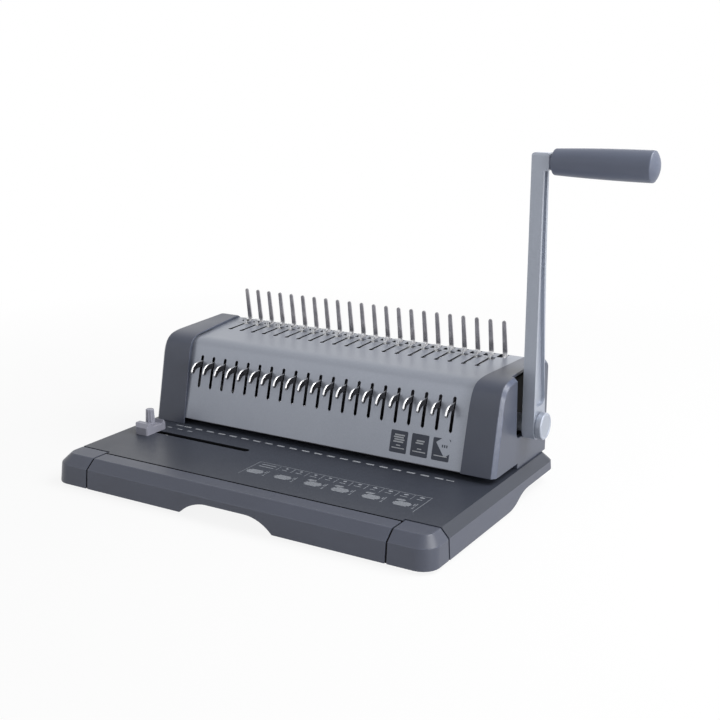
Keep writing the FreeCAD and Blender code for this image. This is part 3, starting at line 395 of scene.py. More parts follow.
FINISHES = {
    # The dark colour given here is painted shade on the walls of the cover's slots
    "cover_silver": lambda: painted("silver_paint", colours().cover, 0.32, 0.35, cut=tone(20, 20, 23)),
    "body_paint": lambda: painted("grey_paint", colours().base, 0.42, 0.2),
    # Arm: the factor 1.4 lightens its rounds, partly rubbing and partly a painted highlight
    "arm_paint": lambda: painted("arm_paint", colours().arm, 0.32, 0.35, 1.4),
    # End covers: the large factor 1.9 paints a bright highlight on the chamfer of their rims
    "end_grey": lambda: moulded("end_moulding", colours().ends, 0.33, 0.38, 1.9),
    # The base's guide slot and drawer seam get painted shade from their boxes
    "body_grey": lambda: moulded("base_moulding", colours().base, 0.38, 0.4, 1.2, colours().deck,
                                 (GUIDE_SLOT, DRAWER_SEAM)),
    "drawer_grey": lambda: moulded("drawer_moulding", colours().base, 0.38, 0.4, 1.2, painted_shade_boxes=[DRAWER_SEAM]),
    "grip_grey": lambda: moulded("grip_moulding", colours().grip, 0.4, 0.3, 1.3),
    "guide_grey": lambda: moulded("guide_moulding", colours().guide, 0.4, 0.4, 1.5),
    # Near-black plastic of the well and the base's closing strips, as painted shade
    "black_plastic": lambda: moulded("black_moulding", tone(5, 5, 6), 0.6, 0.06),
    # Painted reflection: near-white colour with little metal stands in for the chrome hooks' bright reflections
    "hook_chrome": lambda: plated("hook_plate_chrome", tone(246, 247, 249), 0.16, metallic=0.4),
    # The last colour is the painted near-white highlight at the tines' feet
    "tine_steel": lambda: tine_plate("tine_plate", tone(158, 156, 160), tone(246, 246, 248)),
    # Pulls: the darker colour is painted shade on the faces, the lighter one a painted highlight on the edges
    "pull_silver": lambda: highlit_plate("pull_plate", tone(104, 102, 103), tone(232, 232, 234)),
    "zinc_steel": lambda: plated("zinc_plate", tone(168, 170, 174), 0.38, (1.0, 0.2, 1.0)),
    "tool_steel": lambda: dull("tool_steel", tone(110, 110, 116), 0.36, 0.2 * MM, 1.0),
    "bronze": lambda: dull("sintered_bronze", tone(168, 128, 78), 0.5, 0.3 * MM, 1.0),
    "rubber": lambda: dull("black_rubber", tone(26, 26, 28), 0.8),
    "pale_ink": lambda: ink("pale_ink", colours().ink),
    "table_ink": lambda: ink("table_ink", colours().table_ink),
    "dark_ink": lambda: ink("dark_ink", colours().icon),
}
MADE = {}


def finish(name):
    """The material of a finish, made the first time it is asked for."""
    if name not in MADE:
        MADE[name] = FINISHES[name]()
    return MADE[name]


def deselect():
    bpy.ops.object.select_all(action="DESELECT")


def work_on(piece):
    """Leaves one object selected and active."""
    deselect()
    piece.select_set(True)
    bpy.context.view_layer.objects.active = piece


def linked(name, mesh):
    """New object in the scene."""
    piece = bpy.data.objects.new(name, mesh)
    bpy.context.scene.collection.objects.link(piece)
    return piece


@contextlib.contextmanager
def editing(piece, pick="SELECT"):
    """Edit mode on one object, with all of its mesh picked unless asked otherwise."""
    work_on(piece)
    bpy.ops.object.mode_set(mode="EDIT")
    if pick:
        bpy.ops.mesh.select_all(action=pick)
    yield
    bpy.ops.object.mode_set(mode="OBJECT")


def apply_place():
    """Puts the place, turn and size of the selected objects into their meshes."""
    bpy.ops.object.transform_apply(location=True, rotation=True, scale=True)


def apply_modifier(piece, kind, **settings):
    """Adds a modifier to a piece and applies it."""
    work_on(piece)
    modifier = piece.modifiers.new(kind, kind)
    for setting, value in settings.items():
        setattr(modifier, setting, value)
    bpy.ops.object.modifier_apply(modifier=modifier.name)


def cut_away(piece, cutter):
    """Cuts a shape out of a piece and removes the shape."""
    apply_modifier(piece, "BOOLEAN", object=cutter, operation="DIFFERENCE")
    bpy.data.objects.remove(cutter)


def face_outwards():
    """Turns all faces of the mesh in edit mode to its outside."""
    bpy.ops.mesh.select_all(action="SELECT")
    bpy.ops.mesh.normals_make_consistent(inside=False)


def round_edges(piece, width, angle=radians(32), segments=2):
    """Breaks every sharp edge, marks the rounds for rubbing and painted highlights and lets the flat faces keep
    their flat shading.
    """
    piece.data.materials.clear()
    for slot in range(2):
        piece.data.materials.append(None)
    for face in piece.data.polygons:
        face.material_index = 0
    apply_modifier(piece, "BEVEL", width=width, segments=segments, limit_method="ANGLE", angle_limit=angle,
                   material=1)
    rubbed_and_lit = piece.data.attributes.new(RUBBED_AND_LIT, "FLOAT", "FACE")
    for face in piece.data.polygons:
        rubbed_and_lit.data[face.index].value = face.material_index
        face.material_index = 0
    bpy.ops.object.shade_smooth_by_angle(angle=SMOOTH)
    apply_modifier(piece, "WEIGHTED_NORMAL", keep_sharp=True)


def settle(piece, body, finish_name, node=None):
    """Gives a finished piece its material, the body it moves with and the node it stands for."""
    piece.data.materials.clear()
    piece.data.materials.append(finish(finish_name))
    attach(piece, body)
    if node:
        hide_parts(node)


class Bend:
    """Front bend of a cover in the side view, from the leaning panel to the rising top."""

    def __init__(self, panel, lean, top, reaches):
        up = Vector((0, sin(lean), cos(lean)))
        back = Vector((0, cos(TOP_SLOPE), sin(TOP_SLOPE)))
        self.corner = intersect_line_line(panel, panel + up, top, top + back)[0]
        self.start = self.corner - up * reaches[0]
        self.end = self.corner + back * reaches[1]
        self.weight = cos(up.angle(back) / 2)
        self.outward = (up - back).normalized()
        self.along = (up + back).normalized()

    def line(self, weight, runs=240):
        """Places along the bend and heights towards its corner; a larger weight lies closer to the corner."""
        share = numpy.linspace(0, 1, runs + 1)
        first, last = (1 - share) ** 2, share ** 2
        total = first + 2 * weight * share * (1 - share) + last
        start, end = self.start - self.corner, self.end - self.corner
        return [(first * start.dot(axis) + last * end.dot(axis)) / total for axis in (self.along, self.outward)]

    def tighten(self, piece, weight, depth=9 * MM):
        """Draws the wall of a cover towards the corner of its bend, down to a depth below the surface."""
        packed, drawn = self.line(self.weight), self.line(weight)
        for corner in piece.data.vertices:
            spot = corner.co - self.corner
            place = spot.dot(self.along)
            height = numpy.interp(place, *packed)
            if spot.dot(self.outward) > height - depth:
                corner.co += self.outward * (numpy.interp(place, *drawn) - height)


def copy_of(node, ending):
    """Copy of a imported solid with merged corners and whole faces."""
    piece = linked(node + ending, NODES[node].data.copy())
    work_on(piece)
    bpy.ops.mesh.customdata_custom_splitnormals_clear()
    with editing(piece):
        bpy.ops.mesh.remove_doubles(threshold=WELD)
        bpy.ops.mesh.dissolve_limited(angle_limit=FLAT)
    return piece


def dressed(node, edge, finish_name=None, segments=2, bend=None):
    """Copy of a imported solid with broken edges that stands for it; its front bend may be drawn tighter."""
    piece = copy_of(node, "_finish")
    if bend is not None:
        bend.tighten(piece, sizes().bend_weight)
    round_edges(piece, edge, segments=segments)
    settle(piece, NODES[node]["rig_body"], finish_name or SLOT_OF[node], node)
    return piece


def coat(*nodes):
    """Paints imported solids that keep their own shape."""
    for node in nodes:
        data = NODES[node].data
        data.materials.clear()
        data.materials.append(finish(SLOT_OF[node]))


AXES = {"X": (Vector((1, 0, 0)), (0, pi / 2, 0)), "Y": (Vector((0, 1, 0)), (-pi / 2, 0, 0)),
        "Z": (Vector((0, 0, 1)), (0, 0, 0))}


def turned(name, start, profile, axis="X", sides=64):
    """Solid turned about an axis, from (reach, radius) rings measured from a start point."""
    along, tilt = AXES[axis]
    reach, radius = profile[0]
    deselect()
    bpy.ops.mesh.primitive_circle_add(vertices=sides, radius=radius, fill_type="NGON",
                                      location=start + along * reach, rotation=tilt)
    piece = bpy.context.object
    piece.name = name
    apply_place()
    with editing(piece):
        for next_reach, next_radius in profile[1:]:
            bpy.ops.mesh.extrude_region_move(
                TRANSFORM_OT_translate={"value": along * (next_reach - reach)})
            share = next_radius / radius
            bpy.ops.transform.resize(value=[1 if part else share for part in along],
                                     center_override=start + along * next_reach)
            reach, radius = next_reach, next_radius
        face_outwards()
    return piece


def lying(node):
    """Left end, length and radius of a round part that lies along X."""
    low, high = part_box(node)
    return Vector((low.x, (low.y + high.y) / 2, (low.z + high.z) / 2)), high.x - low.x, (high.z - low.z) / 2


def repeated(model, shifts):
    """Copies of a small part, each with its own mesh, moved by the shifts and joined to the first."""
    copies = [model]
    for shift in shifts:
        copy = linked(model.name, model.data.copy())
        copy.location = shift
        copies.append(copy)
    deselect()
    for copy in copies:
        copy.select_set(True)
    bpy.context.view_layer.objects.active = model
    apply_place()
    bpy.ops.object.join()
    return model


def at_corners(model, node, radius, normal):
    """Copies of a small part, modelled at the node's lowest corner, at all four corners of its face."""
    low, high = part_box(node)
    span = high - low - 2 * Vector((radius, radius, radius))
    first, second = [Vector([part * (axis == index) for index, part in enumerate(span)])
                     for axis in range(3) if axis != normal]
    return repeated(model, (first, second, first + second))


class Sheet:
    """Flat shapes drawn side by side on a level sheet, in one mesh, and then laid on a face."""

    def __init__(self, name, unit):
        self.piece = linked(name, bpy.data.meshes.new(name))
        self.unit = unit

    def plate(self, middle, size):
        """Square-cornered rectangle."""
        bpy.ops.mesh.primitive_plane_add(size=1, location=(*middle, 0))
        bpy.ops.transform.resize(value=(*size, 1), center_override=(*middle, 0))

    def bar(self, start, end, width):
        """Level or upright stroke between two points."""
        (u0, v0), (u1, v1) = start, end
        self.plate(((u0 + u1) / 2, (v0 + v1) / 2), (abs(u1 - u0) or width, abs(v1 - v0) or width))

    def tile(self, middle, size, corner, turn=0.0):
        """Rectangle with rounded corners."""
        self.plate(middle, size)
        bpy.ops.mesh.bevel(offset=corner, segments=4, affect="VERTICES")
        bpy.ops.transform.rotate(value=turn, orient_axis="Z", center_override=(*middle, 0))

    def disc(self, middle, size, sides=20):
        bpy.ops.mesh.primitive_circle_add(vertices=sides, radius=0.5, fill_type="NGON", location=(*middle, 0))
        bpy.ops.transform.resize(value=(*size, 1), center_override=(*middle, 0))

    def lay(self, height, place, tilt=0.0):
        """Gives the shapes a height on both sides of a face, its normal turned from level by a tilt."""
        apply_modifier(self.piece, "SOLIDIFY", thickness=2 * height / self.unit, offset=0.0)
        self.piece.scale = [self.unit] * 3
        self.piece.rotation_euler = (tilt, 0, 0)
        self.piece.location = place
        apply_place()
        return self.piece


@contextlib.contextmanager
def drawing(name, unit=1.0):
    """New sheet, open for drawing in metres or in another unit."""
    sheet = Sheet(name, unit)
    with editing(sheet.piece):
        yield sheet


class MACHINE_OT_sheet_covers(bpy.types.Operator):
    """Bent slotted cover, and the flat panel at the back"""
    bl_idname = "machine.sheet_covers"
    bl_label = "Sheet covers"

    def execute(self, context):
        dressed("front_cover", sizes().sheet_edge, bend=Bend(*COVER_BEND))
        dressed("rear_cover", sizes().plate_edge)
        return {"FINISHED"}


class MACHINE_OT_end_covers(bpy.types.Operator):
    """Moulded covers at both ends, and the black well behind the arm, whose black stands in as painted shade"""
    bl_idname = "machine.end_covers"
    bl_label = "End covers"

    # Faces of the rim's chamfer larger than this area get the painted highlight
    rim_area: number("Rim area", 5 * MM ** 2, "Smallest face that belongs to the polished rim",
                     min=0.0, precision=7, unit="AREA")
    # The other rounds keep this share of their lighter colour, partly rubbing and partly painted highlight
    round_rub_and_highlight: fraction("Round wear", 0.2, "Wear of the other rounds beside that of the rim")

    def highlight_rim(self, cover):
        """Marks the chamfer around the outer side for a strong painted highlight, and the other rounds of the
        cover only a little.
        """
        rubbed_and_lit = cover.data.attributes[RUBBED_AND_LIT].data
        for face in cover.data.polygons:
            leaning = 0.3 < abs(face.normal.x) < 0.95
            if leaning and face.area > self.rim_area:
                rubbed_and_lit[face.index].value = 1.0
            else:
                rubbed_and_lit[face.index].value *= self.round_rub_and_highlight

    def execute(self, context):
        for node in ("end_cover_left", "end_cover_right"):
            self.highlight_rim(dressed(node, sizes().end_edge, segments=3, bend=Bend(*END_BEND)))
        dressed("handle_well", sizes().plate_edge)
        return {"FINISHED"}


class MACHINE_OT_base(bpy.types.Operator):
    """Base with its corner caps, chip drawer and bottom plate"""
    bl_idname = "machine.base"
    bl_label = "Base"

    seal_share: fraction("Seal share", 0.85, "Share of the seam that a seal fills")
    seal_inset: length("Seal inset", 0.6 * MM, "How far a seal keeps back from the cap's outline")
    liner_height: length("Liner height", 1.5 * MM, "Thickness of the strips that close the base")

    # Width and length of the strips beside and in front of the bottom plate
    side_strip = (27.2 * MM, 122 * MM)
    front_strip = (19.1 * MM, 17.6 * MM)

    def seal(self, node, side):
        """Black strip on a corner cap that closes the seam beside the drawer, which lies on the given side; its
        black is painted shade.
        """
        strip = copy_of(node, "_seal")
        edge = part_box(node)[side > 0].x
        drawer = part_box("chip_drawer")[side < 0].x
        with editing(strip, "DESELECT"):
            bpy.ops.mesh.select_mode(type="FACE")
        for face in strip.data.polygons:
            beside_drawer = face.normal.x * side >= 0.99 and abs(face.center.x - edge) <= 0.1 * MM
            face.select = not beside_drawer
        with editing(strip, None):
            bpy.ops.mesh.delete(type="FACE")
            bpy.ops.mesh.select_all(action="SELECT")
            bpy.ops.mesh.inset(thickness=self.seal_inset)
            bpy.ops.mesh.select_all(action="INVERT")
            bpy.ops.mesh.delete(type="FACE")
            bpy.ops.mesh.select_all(action="SELECT")
            bpy.ops.mesh.extrude_region_move(
                TRANSFORM_OT_translate={"value": (self.seal_share * (drawer - edge), 0, 0)})
            face_outwards()
        if not strip.data.polygons:
            raise RuntimeError("no face for the seal of " + node)
        round_edges(strip, 0.2 * MM)
        settle(strip, "base", "black_plastic")

    def shade_liners(self):
        """Black strips that close the base beside and in front of the bottom plate, below the seams, as painted
        shade.
        """
        low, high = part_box("bottom_plate")
        plate = high.x - MIDDLE_X
        side_x, side_y = plate + 13.8 * MM, -43 * MM
        front_x, front_y = plate - 9.45 * MM, low.y - 9.4 * MM
        with drawing("base_liners") as strips:
            for side in (-1, 1):
                strips.plate((side * side_x, side_y), self.side_strip)
                strips.plate((side * front_x, front_y), self.front_strip)
        half = self.liner_height / 2
        place = Vector((MIDDLE_X, 0, low.z + half))
        settle(strips.lay(half, place), "base", "black_plastic")

    def execute(self, context):
        dressed("base_shell", sizes().shell_edge)
        self.seal("front_corner_left", 1)
        self.seal("front_corner_right", -1)
        for node in ("chip_drawer", "front_corner_left", "front_corner_right"):
            dressed(node, sizes().shell_edge, "drawer_grey")
        self.shade_liners()
        coat("bottom_plate")
        return {"FINISHED"}


class MACHINE_OT_arm(bpy.types.Operator):
    """Cast arm with its groove, and the turned cap over its pivot"""
    bl_idname = "machine.arm"
    bl_label = "Arm"

    def execute(self, context):
        dressed("handle_arm", sizes().arm_edge, segments=3)
        start, reach, radius = lying("pivot_cap")
        brim = 1.1 * MM
        profile = [(0.0, radius - 1.2 * brim), (1.2 * brim, radius - 1.2 * brim), (1.2 * brim, radius),
                   (reach - 0.7 * brim, radius), (reach, radius - 0.8 * brim), (reach, radius - 1.8 * brim),
                   (reach - 0.5 * brim, radius - 2.3 * brim), (reach - 0.3 * brim, 0.3 * radius)]
        cap = turned("pivot_cap_turned", start, profile)
        round_edges(cap, 0.3 * MM)
        settle(cap, "handle", "arm_paint", "pivot_cap")
        return {"FINISHED"}


class MACHINE_OT_grip(bpy.types.Operator):
    """Swelling grip with its collar and domed end"""
    bl_idname = "machine.grip"
    bl_label = "Grip"

    collar: length("Collar", 3.4 * MM, "Length of the collar next to the arm")
    collar_radius: length("Collar radius", 7.4 * MM, "Radius of the collar")
    flare_radius: length("Flare radius", 11.3 * MM, "Radius where the body starts")
    middle_radius: length("Middle radius", 12.9 * MM, "Radius half way along")
    dome: length("Dome", 4.5 * MM, "Height of the domed end")

    def body_radius(self, share, end_radius):
        """Radius along the body, from a curve through its start, middle and end."""
        bulge = 4 * self.middle_radius - 2 * (self.flare_radius + end_radius)
        return self.flare_radius * (1 - share) + end_radius * share + bulge * share * (1 - share)

    def execute(self, context):
        start, reach, end_radius = lying("handle_grip")
        body_end = reach - self.dome
        rings, domes = 16, 8
        profile = [(0.0, self.collar_radius), (0.55 * self.collar, self.collar_radius)]
        for ring in range(rings + 1):
            share = ring / rings
            profile.append((self.collar + (body_end - self.collar) * share,
                            self.body_radius(share, end_radius)))
        dome_radius = (end_radius ** 2 + self.dome ** 2) / (2 * self.dome)
        for ring in range(domes):
            across = end_radius * (0.93 - ring / domes)
            rise = sqrt(dome_radius ** 2 - across ** 2) - (dome_radius - self.dome)
            profile.append((body_end + rise, across))
        grip = turned("grip_body", start, profile)
        round_edges(grip, 0.7 * MM, radians(24), 3)
        settle(grip, "handle", "grip_grey", "handle_grip")
        coat("grip_spindle")
        return {"FINISHED"}


class MACHINE_OT_comb_rows(bpy.types.Operator):
    """Plated comb of tines, and the slide with its hooks"""
    bl_idname = "machine.comb_rows"
    bl_label = "Tines and hooks"

    def execute(self, context):
        dressed("tine_comb", sizes().plate_edge, "tine_steel")
        dressed("hook_plate", sizes().plate_edge, "hook_chrome")
        return {"FINISHED"}


class MACHINE_OT_pulls(bpy.types.Operator):
    """Row of selector pulls in the front slots"""
    bl_idname = "machine.pulls"
    bl_label = "Selector pulls"

    def execute(self, context):
        for index in range(1, HOLE_COUNT + 1):
            dressed(f"selector_pull_{index:02d}", sizes().pull_edge, segments=3)
        return {"FINISHED"}


class MACHINE_OT_guide(bpy.types.Operator):
    """Sliding paper guide and its fluted clamping knob"""
    bl_idname = "machine.guide"
    bl_label = "Paper guide"

    def execute(self, context):
        dressed("paper_guide", 1.6 * sizes().shell_edge, "guide_grey", 3)
        dressed("guide_knob", sizes().plate_edge, "guide_grey", 3)
        coat("guide_nut")
        return {"FINISHED"}


class MACHINE_OT_feet(bpy.types.Operator):
    """Ringed rubber feet under the base"""
    bl_idname = "machine.feet"
    bl_label = "Feet"

    radius: length("Radius", 9 * MM, "Radius of a foot where it meets the base")
    hollow: length("Hollow", 4.6 * MM, "Radius of the hollow in the sole")

    def execute(self, context):
        low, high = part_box("rubber_feet")
        height = high.z - low.z
        start = Vector((low.x + self.radius, low.y + self.radius, high.z))
        profile = [(0.0, self.radius), (-0.35 * height, self.radius - 0.2 * MM),
                   (-0.4 * height, self.radius - 0.8 * MM), (-0.5 * height, self.radius - 0.8 * MM),
                   (-0.55 * height, self.radius - 0.4 * MM), (-height, self.radius - 1 * MM),
                   (-height, self.hollow), (-0.6 * height, self.hollow - 0.4 * MM), (-0.6 * height, 1 * MM)]
        foot = turned("rubber_feet_ringed", start, profile, "Z", 48)
        round_edges(foot, 0.25 * MM)
        feet = at_corners(foot, "rubber_feet", self.radius, 2)
        settle(feet, "base", "rubber", "rubber_feet")
        return {"FINISHED"}


class MACHINE_OT_screws(bpy.types.Operator):
    """Cross-recessed pan-head screws in the back"""
    bl_idname = "machine.screws"
    bl_label = "Rear screws"

    head_radius: length("Head radius", 3.6 * MM, "Radius of the screw's head")
    shank_radius: length("Shank radius", 1.6 * MM, "Radius of the screw's shank")
    head_height: length("Head height", 1.8 * MM, "Height of the screw's head")

    def recess(self, screw, middle):
        """Cuts the cross for the driver into the head."""
        span, depth, width = 4 * MM, 2 * MM, 0.8 * MM
        for arm in ((span, depth, width), (width, depth, span)):
            deselect()
            bpy.ops.mesh.primitive_cube_add(size=1, location=middle, scale=arm)
            cut_away(screw, bpy.context.object)

    def execute(self, context):
        low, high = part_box("rear_screws")
        start = Vector((low.x + self.head_radius, low.y, low.z + self.head_radius))
        head, shank, rise = self.head_radius, self.shank_radius, self.head_height
        seat = high.y - low.y - rise
        profile = [(0.0, 0.6 * shank), (0.5 * shank, shank), (seat, shank), (seat, head),
                   (seat + 0.35 * rise, 0.98 * head), (seat + 0.75 * rise, 0.82 * head),
                   (seat + rise, 0.5 * head)]
        screw = turned("rear_screws_recessed", start, profile, "Y", 32)
        self.recess(screw, start + Vector((0, high.y - low.y, 0)))
        round_edges(screw, 0.12 * MM)
        screws = at_corners(screw, "rear_screws", self.head_radius, 1)
        settle(screws, "base", "zinc_steel", "rear_screws")
        return {"FINISHED"}


class MACHINE_OT_springs(bpy.types.Operator):
    """Wound springs under the press bar"""
    bl_idname = "machine.springs"
    bl_label = "Press springs"

    wire: length("Wire", 1 * MM, "Thickness of the spring wire")
    turns: bpy.props.IntProperty(name="Turns", description="Turns of a spring", default=5, min=1)
    steps = 20
    smooth = radians(60)

    def execute(self, context):
        low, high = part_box("press_springs")
        outer = (high.y - low.y) / 2
        height = high.z - low.z
        deselect()
        bpy.ops.mesh.primitive_circle_add(vertices=8, radius=self.wire / 2, rotation=(pi / 2, 0, 0),
                                          location=(outer - self.wire / 2, 0, self.wire / 2))
        spring = bpy.context.object
        spring.name = "press_springs_wound"
        apply_place()
        apply_modifier(spring, "SCREW", screw_offset=(height - self.wire) / self.turns, iterations=self.turns,
                       steps=self.steps, render_steps=self.steps)
        with editing(spring):
            bpy.ops.mesh.fill_holes(sides=0)
            face_outwards()
        spring.location = foot = Vector((low.x + outer, (low.y + high.y) / 2, low.z))
        apply_place()
        springs = repeated(spring, [Vector((high.x - low.x - 2 * outer, 0, 0))])
        bpy.ops.object.shade_smooth_by_angle(angle=self.smooth)
        settle(springs, "base", "tool_steel", "press_springs")
        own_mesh(springs)
        return {"FINISHED"}


class MACHINE_OT_mechanism(bpy.types.Operator):
    """Frame, punch and drive inside the housing"""
    bl_idname = "machine.mechanism"
    bl_label = "Mechanism"

    def execute(self, context):
        coat("side_frame_left", "side_frame_right", "tie_rods", "hook_rails", "main_shaft", "shaft_bushes",
             "shaft_collars", "press_pinions", "press_racks", "hook_sectors", "hook_racks", "press_bar",
             "punch_pins", "punch_guide", "die_plate", "paper_stop", "guide_posts")
        return {"FINISHED"}


class MACHINE_OT_dash_row(bpy.types.Operator):
    """Row of dashes in front of the punch, one for each hole, and a shorter mark beyond its last dash"""
    bl_idname = "machine.dash_row"
    bl_label = "Dash row"

    row_x: number("Row middle", -1.65 * MM, "Middle of the row beside the machine's middle", unit="LENGTH")

    def execute(self, context):
        look = sizes()
        with drawing("deck_dashes") as marks:
            for index in range(HOLE_COUNT):
                u = (index - (HOLE_COUNT - 1) / 2) * HOLE_PITCH + self.row_x
                marks.tile((u, look.dash_y), (look.dash_length, look.dash_width), 0.5 * MM)
            end = u + 11 * MM
            marks.tile((end, look.dash_y), (8 * MM, 0.5 * look.dash_width), 0.4 * MM)
        settle(marks.lay(look.ink_height, DECK), "base", "pale_ink")
        return {"FINISHED"}


class MACHINE_OT_deck_table(bpy.types.Operator):
    """Printed table and pictures of the working steps on the deck, drawn in millimetres"""
    bl_idname = "machine.deck_table"
    bl_label = "Deck table"

    left = -21
    right = 158.5
    front = -79.4
    rear = -44
    split = -57
    stroke = 0.45
    steps = (-8.7, 21.8, 53.9, 82.3, 113.6, 144.0)

    def execute(self, context):
        with drawing("deck_table", MM) as marks:
            self.frame_lines(marks)
            self.cells(marks)
            for index, u in enumerate(self.steps):
                self.picture(marks, u, index)
            self.guide_marks(marks)
        settle(marks.lay(sizes().ink_height, DECK), "base", "table_ink")
        return {"FINISHED"}

    def frame_lines(self, marks):
        """Border of the table."""
        half = self.stroke / 2
        for side in (self.left, self.right):
            marks.bar((side, self.front), (side, self.rear), self.stroke)
        marks.bar((self.left + half, self.rear), (self.right - half, self.rear), self.stroke)

    def cells(self, marks):
        """Upper row: a wide heading and ten cells with a bead and a short rule each."""
        count = 10
        first = 3.6
        width = (self.right - first) / count
        for line in range(2):
            v = self.rear - 4.6 - 5.0 * line
            marks.bar((self.left + 5, v), (first - 4, v), 1.1)
        for cell in range(count):
            u = first + cell * width
            marks.bar((u, self.split + 1.5), (u, self.rear - 1.5), self.stroke)
            middle = u + width / 2
            marks.disc((middle, self.rear - 3.6), (2.6 + 0.28 * cell, 2.6))
            reach, v = 2.6 + 0.5 * (cell % 3), self.rear - 8.4
            marks.bar((middle - reach, v), (middle + reach, v), 0.9)

    def guide_marks(self, marks):
        """Stop mark beside the dash row and three marks for the paper guide."""
        row = sizes().dash_y / MM
        marks.tile((-155, row), (9, 2.2), 0.5)
        for u in (-160.4, -147.4, -134.4):
            marks.tile((u, row - 9.5), (6, 2), 0.5)

    def sheet(self, marks, middle, size):
        """Hatched oval of short strokes."""
        (u, v), (width, height) = middle, size
        lines = 5
        for line in range(lines):
            offset = (line - (lines - 1) / 2) / lines * 2
            reach = width / 2 * sqrt(1 - 0.8 * offset * offset)
            near, w = u + 0.5 * offset, v + offset * height / 2
            marks.bar((near - reach, w), (near + reach, w), 0.72 * height / lines)

    def picture(self, marks, u, index):
        """Plain picture of a working step: sheets, their strokes and an arrow."""
        v = (self.front + self.split) / 2 - 1
        self.sheet(marks, (u - 2, v + 1.6), (17, 9.2))
        if index > 1:
            self.sheet(marks, (u - 7, v + 8.8), (9, 3.6))
        for line in range(2):
            start = u + 8.4 + 1.8 * line
            marks.bar((start, v + 2), (start, v + 6.4 + 1.4 * line), 0.7)
        marks.disc((u + 10.4, v - 3.2), (3, 3), 3)
        marks.bar((u + 10.4, v - 3), (u + 10.4, v + 0.6), 0.6)


class MACHINE_OT_panel_icons(bpy.types.Operator):
    """Three dark tiles with plain pictures on the sloping panel"""
    bl_idname = "machine.panel_icons"
    bl_label = "Panel icons"

    first: length("First tile", 92.5 * MM, "Middle of the first tile beside the machine's middle")
    step: length("Step", 21.8 * MM, "Distance from tile to tile")
    width: length("Width", 17.6 * MM, "Width of a tile")
    height: length("Height", 20.6 * MM, "Height of a tile")
    rise: length("Rise", 16.6 * MM, "Middle of a tile above the panel's foot")
    corner: length("Corner", 1.2 * MM, "Round of a tile's corners")
    card_turn: number("Card turn", radians(52.9), "Turn of the card cut out of the last tile",
                      subtype="ANGLE")

    def execute(self, context):
        tilt = pi / 2 - PANEL_LEAN
        layer = sizes().ink_height
        last = self.first + 2 * self.step
        with drawing("panel_tiles") as plates:
            for tile in range(3):
                plates.tile((self.first + tile * self.step, self.rise), (self.width, self.height), self.corner)
        with drawing("panel_card") as card:
            card.tile((last + 4.1 * MM, self.rise + 3.6 * MM), (16 * MM, 12.6 * MM), 0.4 * MM, self.card_turn)
        with drawing("panel_pictures") as marks:
            for tile in range(3):
                self.picture(marks, self.first + tile * self.step, tile)
        with drawing("panel_card_dots") as dots:
            for dot in range(3):
                dots.tile((last + (1.0 + 2.2 * dot) * MM, self.rise + 3.4 * MM), (1.3 * MM, 2.6 * MM), 0.3 * MM)
        card.lay(20 * layer, PANEL_FOOT, tilt)
        tiles = plates.lay(layer, PANEL_FOOT, tilt)
        cut_away(tiles, card.piece)
        settle(tiles, "base", "dark_ink")
        settle(dots.lay(layer, PANEL_FOOT, tilt), "base", "dark_ink")
        settle(marks.lay(2 * layer, PANEL_FOOT, tilt), "base", "pale_ink")
        return {"FINISHED"}

    def picture(self, marks, u, tile):
        """Stack of sheets over a short and a long rule; the card's tile has the long rule alone."""
        foot = self.rise - self.height / 2
        marks.bar((u - 6.6 * MM, foot + 4.4 * MM), (u + 6.6 * MM, foot + 4.4 * MM), 0.9 * MM)
        if tile == 2:
            return
        marks.bar((u - 2.2 * MM, foot + 7 * MM), (u + 2.2 * MM, foot + 7 * MM), 1 * MM)
        middle = foot + 13.4 * MM
        sheets = 4 - 2 * tile
        for sheet in range(sheets):
            v = middle + (sheet - (sheets - 1) / 2) * 2.1 * MM
            shift = 0.9 * MM * (sheet % 2)
            marks.tile((u + shift - 0.4 * MM, v), (10.4 * MM - 2.4 * tile * MM, 1.35 * MM), 0.4 * MM)


